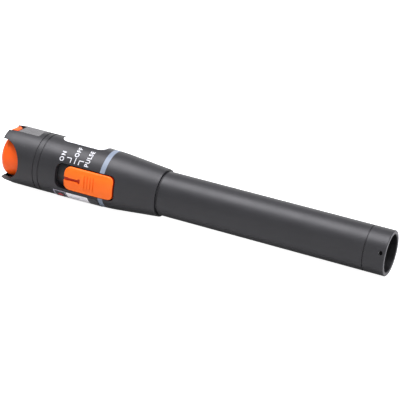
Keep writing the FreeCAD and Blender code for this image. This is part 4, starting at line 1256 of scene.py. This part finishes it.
low_corner = (LOW_TAIL, LOW_NEAR)
low = bar("low_film", (-LOW_ARC, 0), (0, LOW_LENGTH), LOW_ROUNDING)
wrap(low, *low_corner, FILM_HEIGHT, FILM_HEIGHT)
finish(low, dark_film, "pen", "label_dark", "low_label")
ink("low_border", low_corner, BORDER_SIDES, (DIVIDER[1], BORDER_ENDS[1]), lilac_ink)
for index, x1 in enumerate(FIELD_LINES):
    sides = (x1 - FIELD_LINE_WIDTH, x1)
    name = f"field_line_{index + 1}"
    ink(name, low_corner, sides, FIELD_LINE_ENDS, grey_ink, height=LINE_HEIGHT)
ink("low_divider", low_corner, FIELD_SIDES, DIVIDER, lilac_ink)
ink("low_border_side", low_corner, (FAR_SIDE, BORDER_SIDES[0]), BORDER_ENDS, lilac_ink)
ink("low_field", low_corner, FIELD_SIDES, FIELD, white_film, FIELD_ROUNDING)

bpy.ops.object.select_all(action="DESELECT")
bpy.ops.mesh.primitive_circle_add(
    vertices=48,
    radius=SPOT_R * MM,
    fill_type="NGON",
    location=(SPOT_PLACE[0] * MM, SPOT_PLACE[1] * MM, 0),
)
spot = settle("low_spot")
wrap(spot, *low_corner, INK_HEIGHT)
finish(spot, red_ink, "pen", "label_white")

# %% [markdown]
# ## Floor finish and the last measure
#
# The floor should read as a clean pale sheet and not throw light back up at the pen, so it shows
# the camera a bright even tone with only a breath of shadow, and is dim to every other ray. The
# last cell measures the box of everything shown, beside the box of the engineering model.

# %% Floor and sky finish
FLOOR_SEEN, FLOOR_UNSEEN = 0.95, 0.08
SKY_SEEN, SKY_UNSEEN = 1.1, 0.45


def seen_brightly(owner, seen, unseen):
    """A strength that is one value for the camera's own rays and another for all others."""
    by_camera = new_node(owner, "LightPath").outputs["Is Camera Ray"]
    limits = {"To Min": unseen, "To Max": seen}
    return new_node(owner, "MapRange", Value=by_camera, **limits).outputs["Result"]


sheet = plain("floor_sheet", (0.5, 0.5, 0.5), 0.9, Emission_Color=(1, 1, 1, 1))
feed(sheet, "Emission Strength", seen_brightly(sheet, FLOOR_SEEN, FLOOR_UNSEEN))
grain(sheet, 0.8, 0.02)
floor.data.materials.append(sheet)
sky_strength = sky.node_tree.nodes["Background"].inputs["Strength"]
sky.node_tree.links.new(seen_brightly(sky, SKY_SEEN, SKY_UNSEEN), sky_strength)
print("floor shows", FLOOR_SEEN, "and sky", SKY_SEEN, "to the camera")

# %% Measure the boxes
shown_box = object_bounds()
boxes = {
    "cad": [list(corner) for corner in model_box],
    "visual": [list(corner) for corner in shown_box],
}
for name, box in boxes.items():
    print(name, [[round(value / MM, 3) for value in corner] for corner in box])
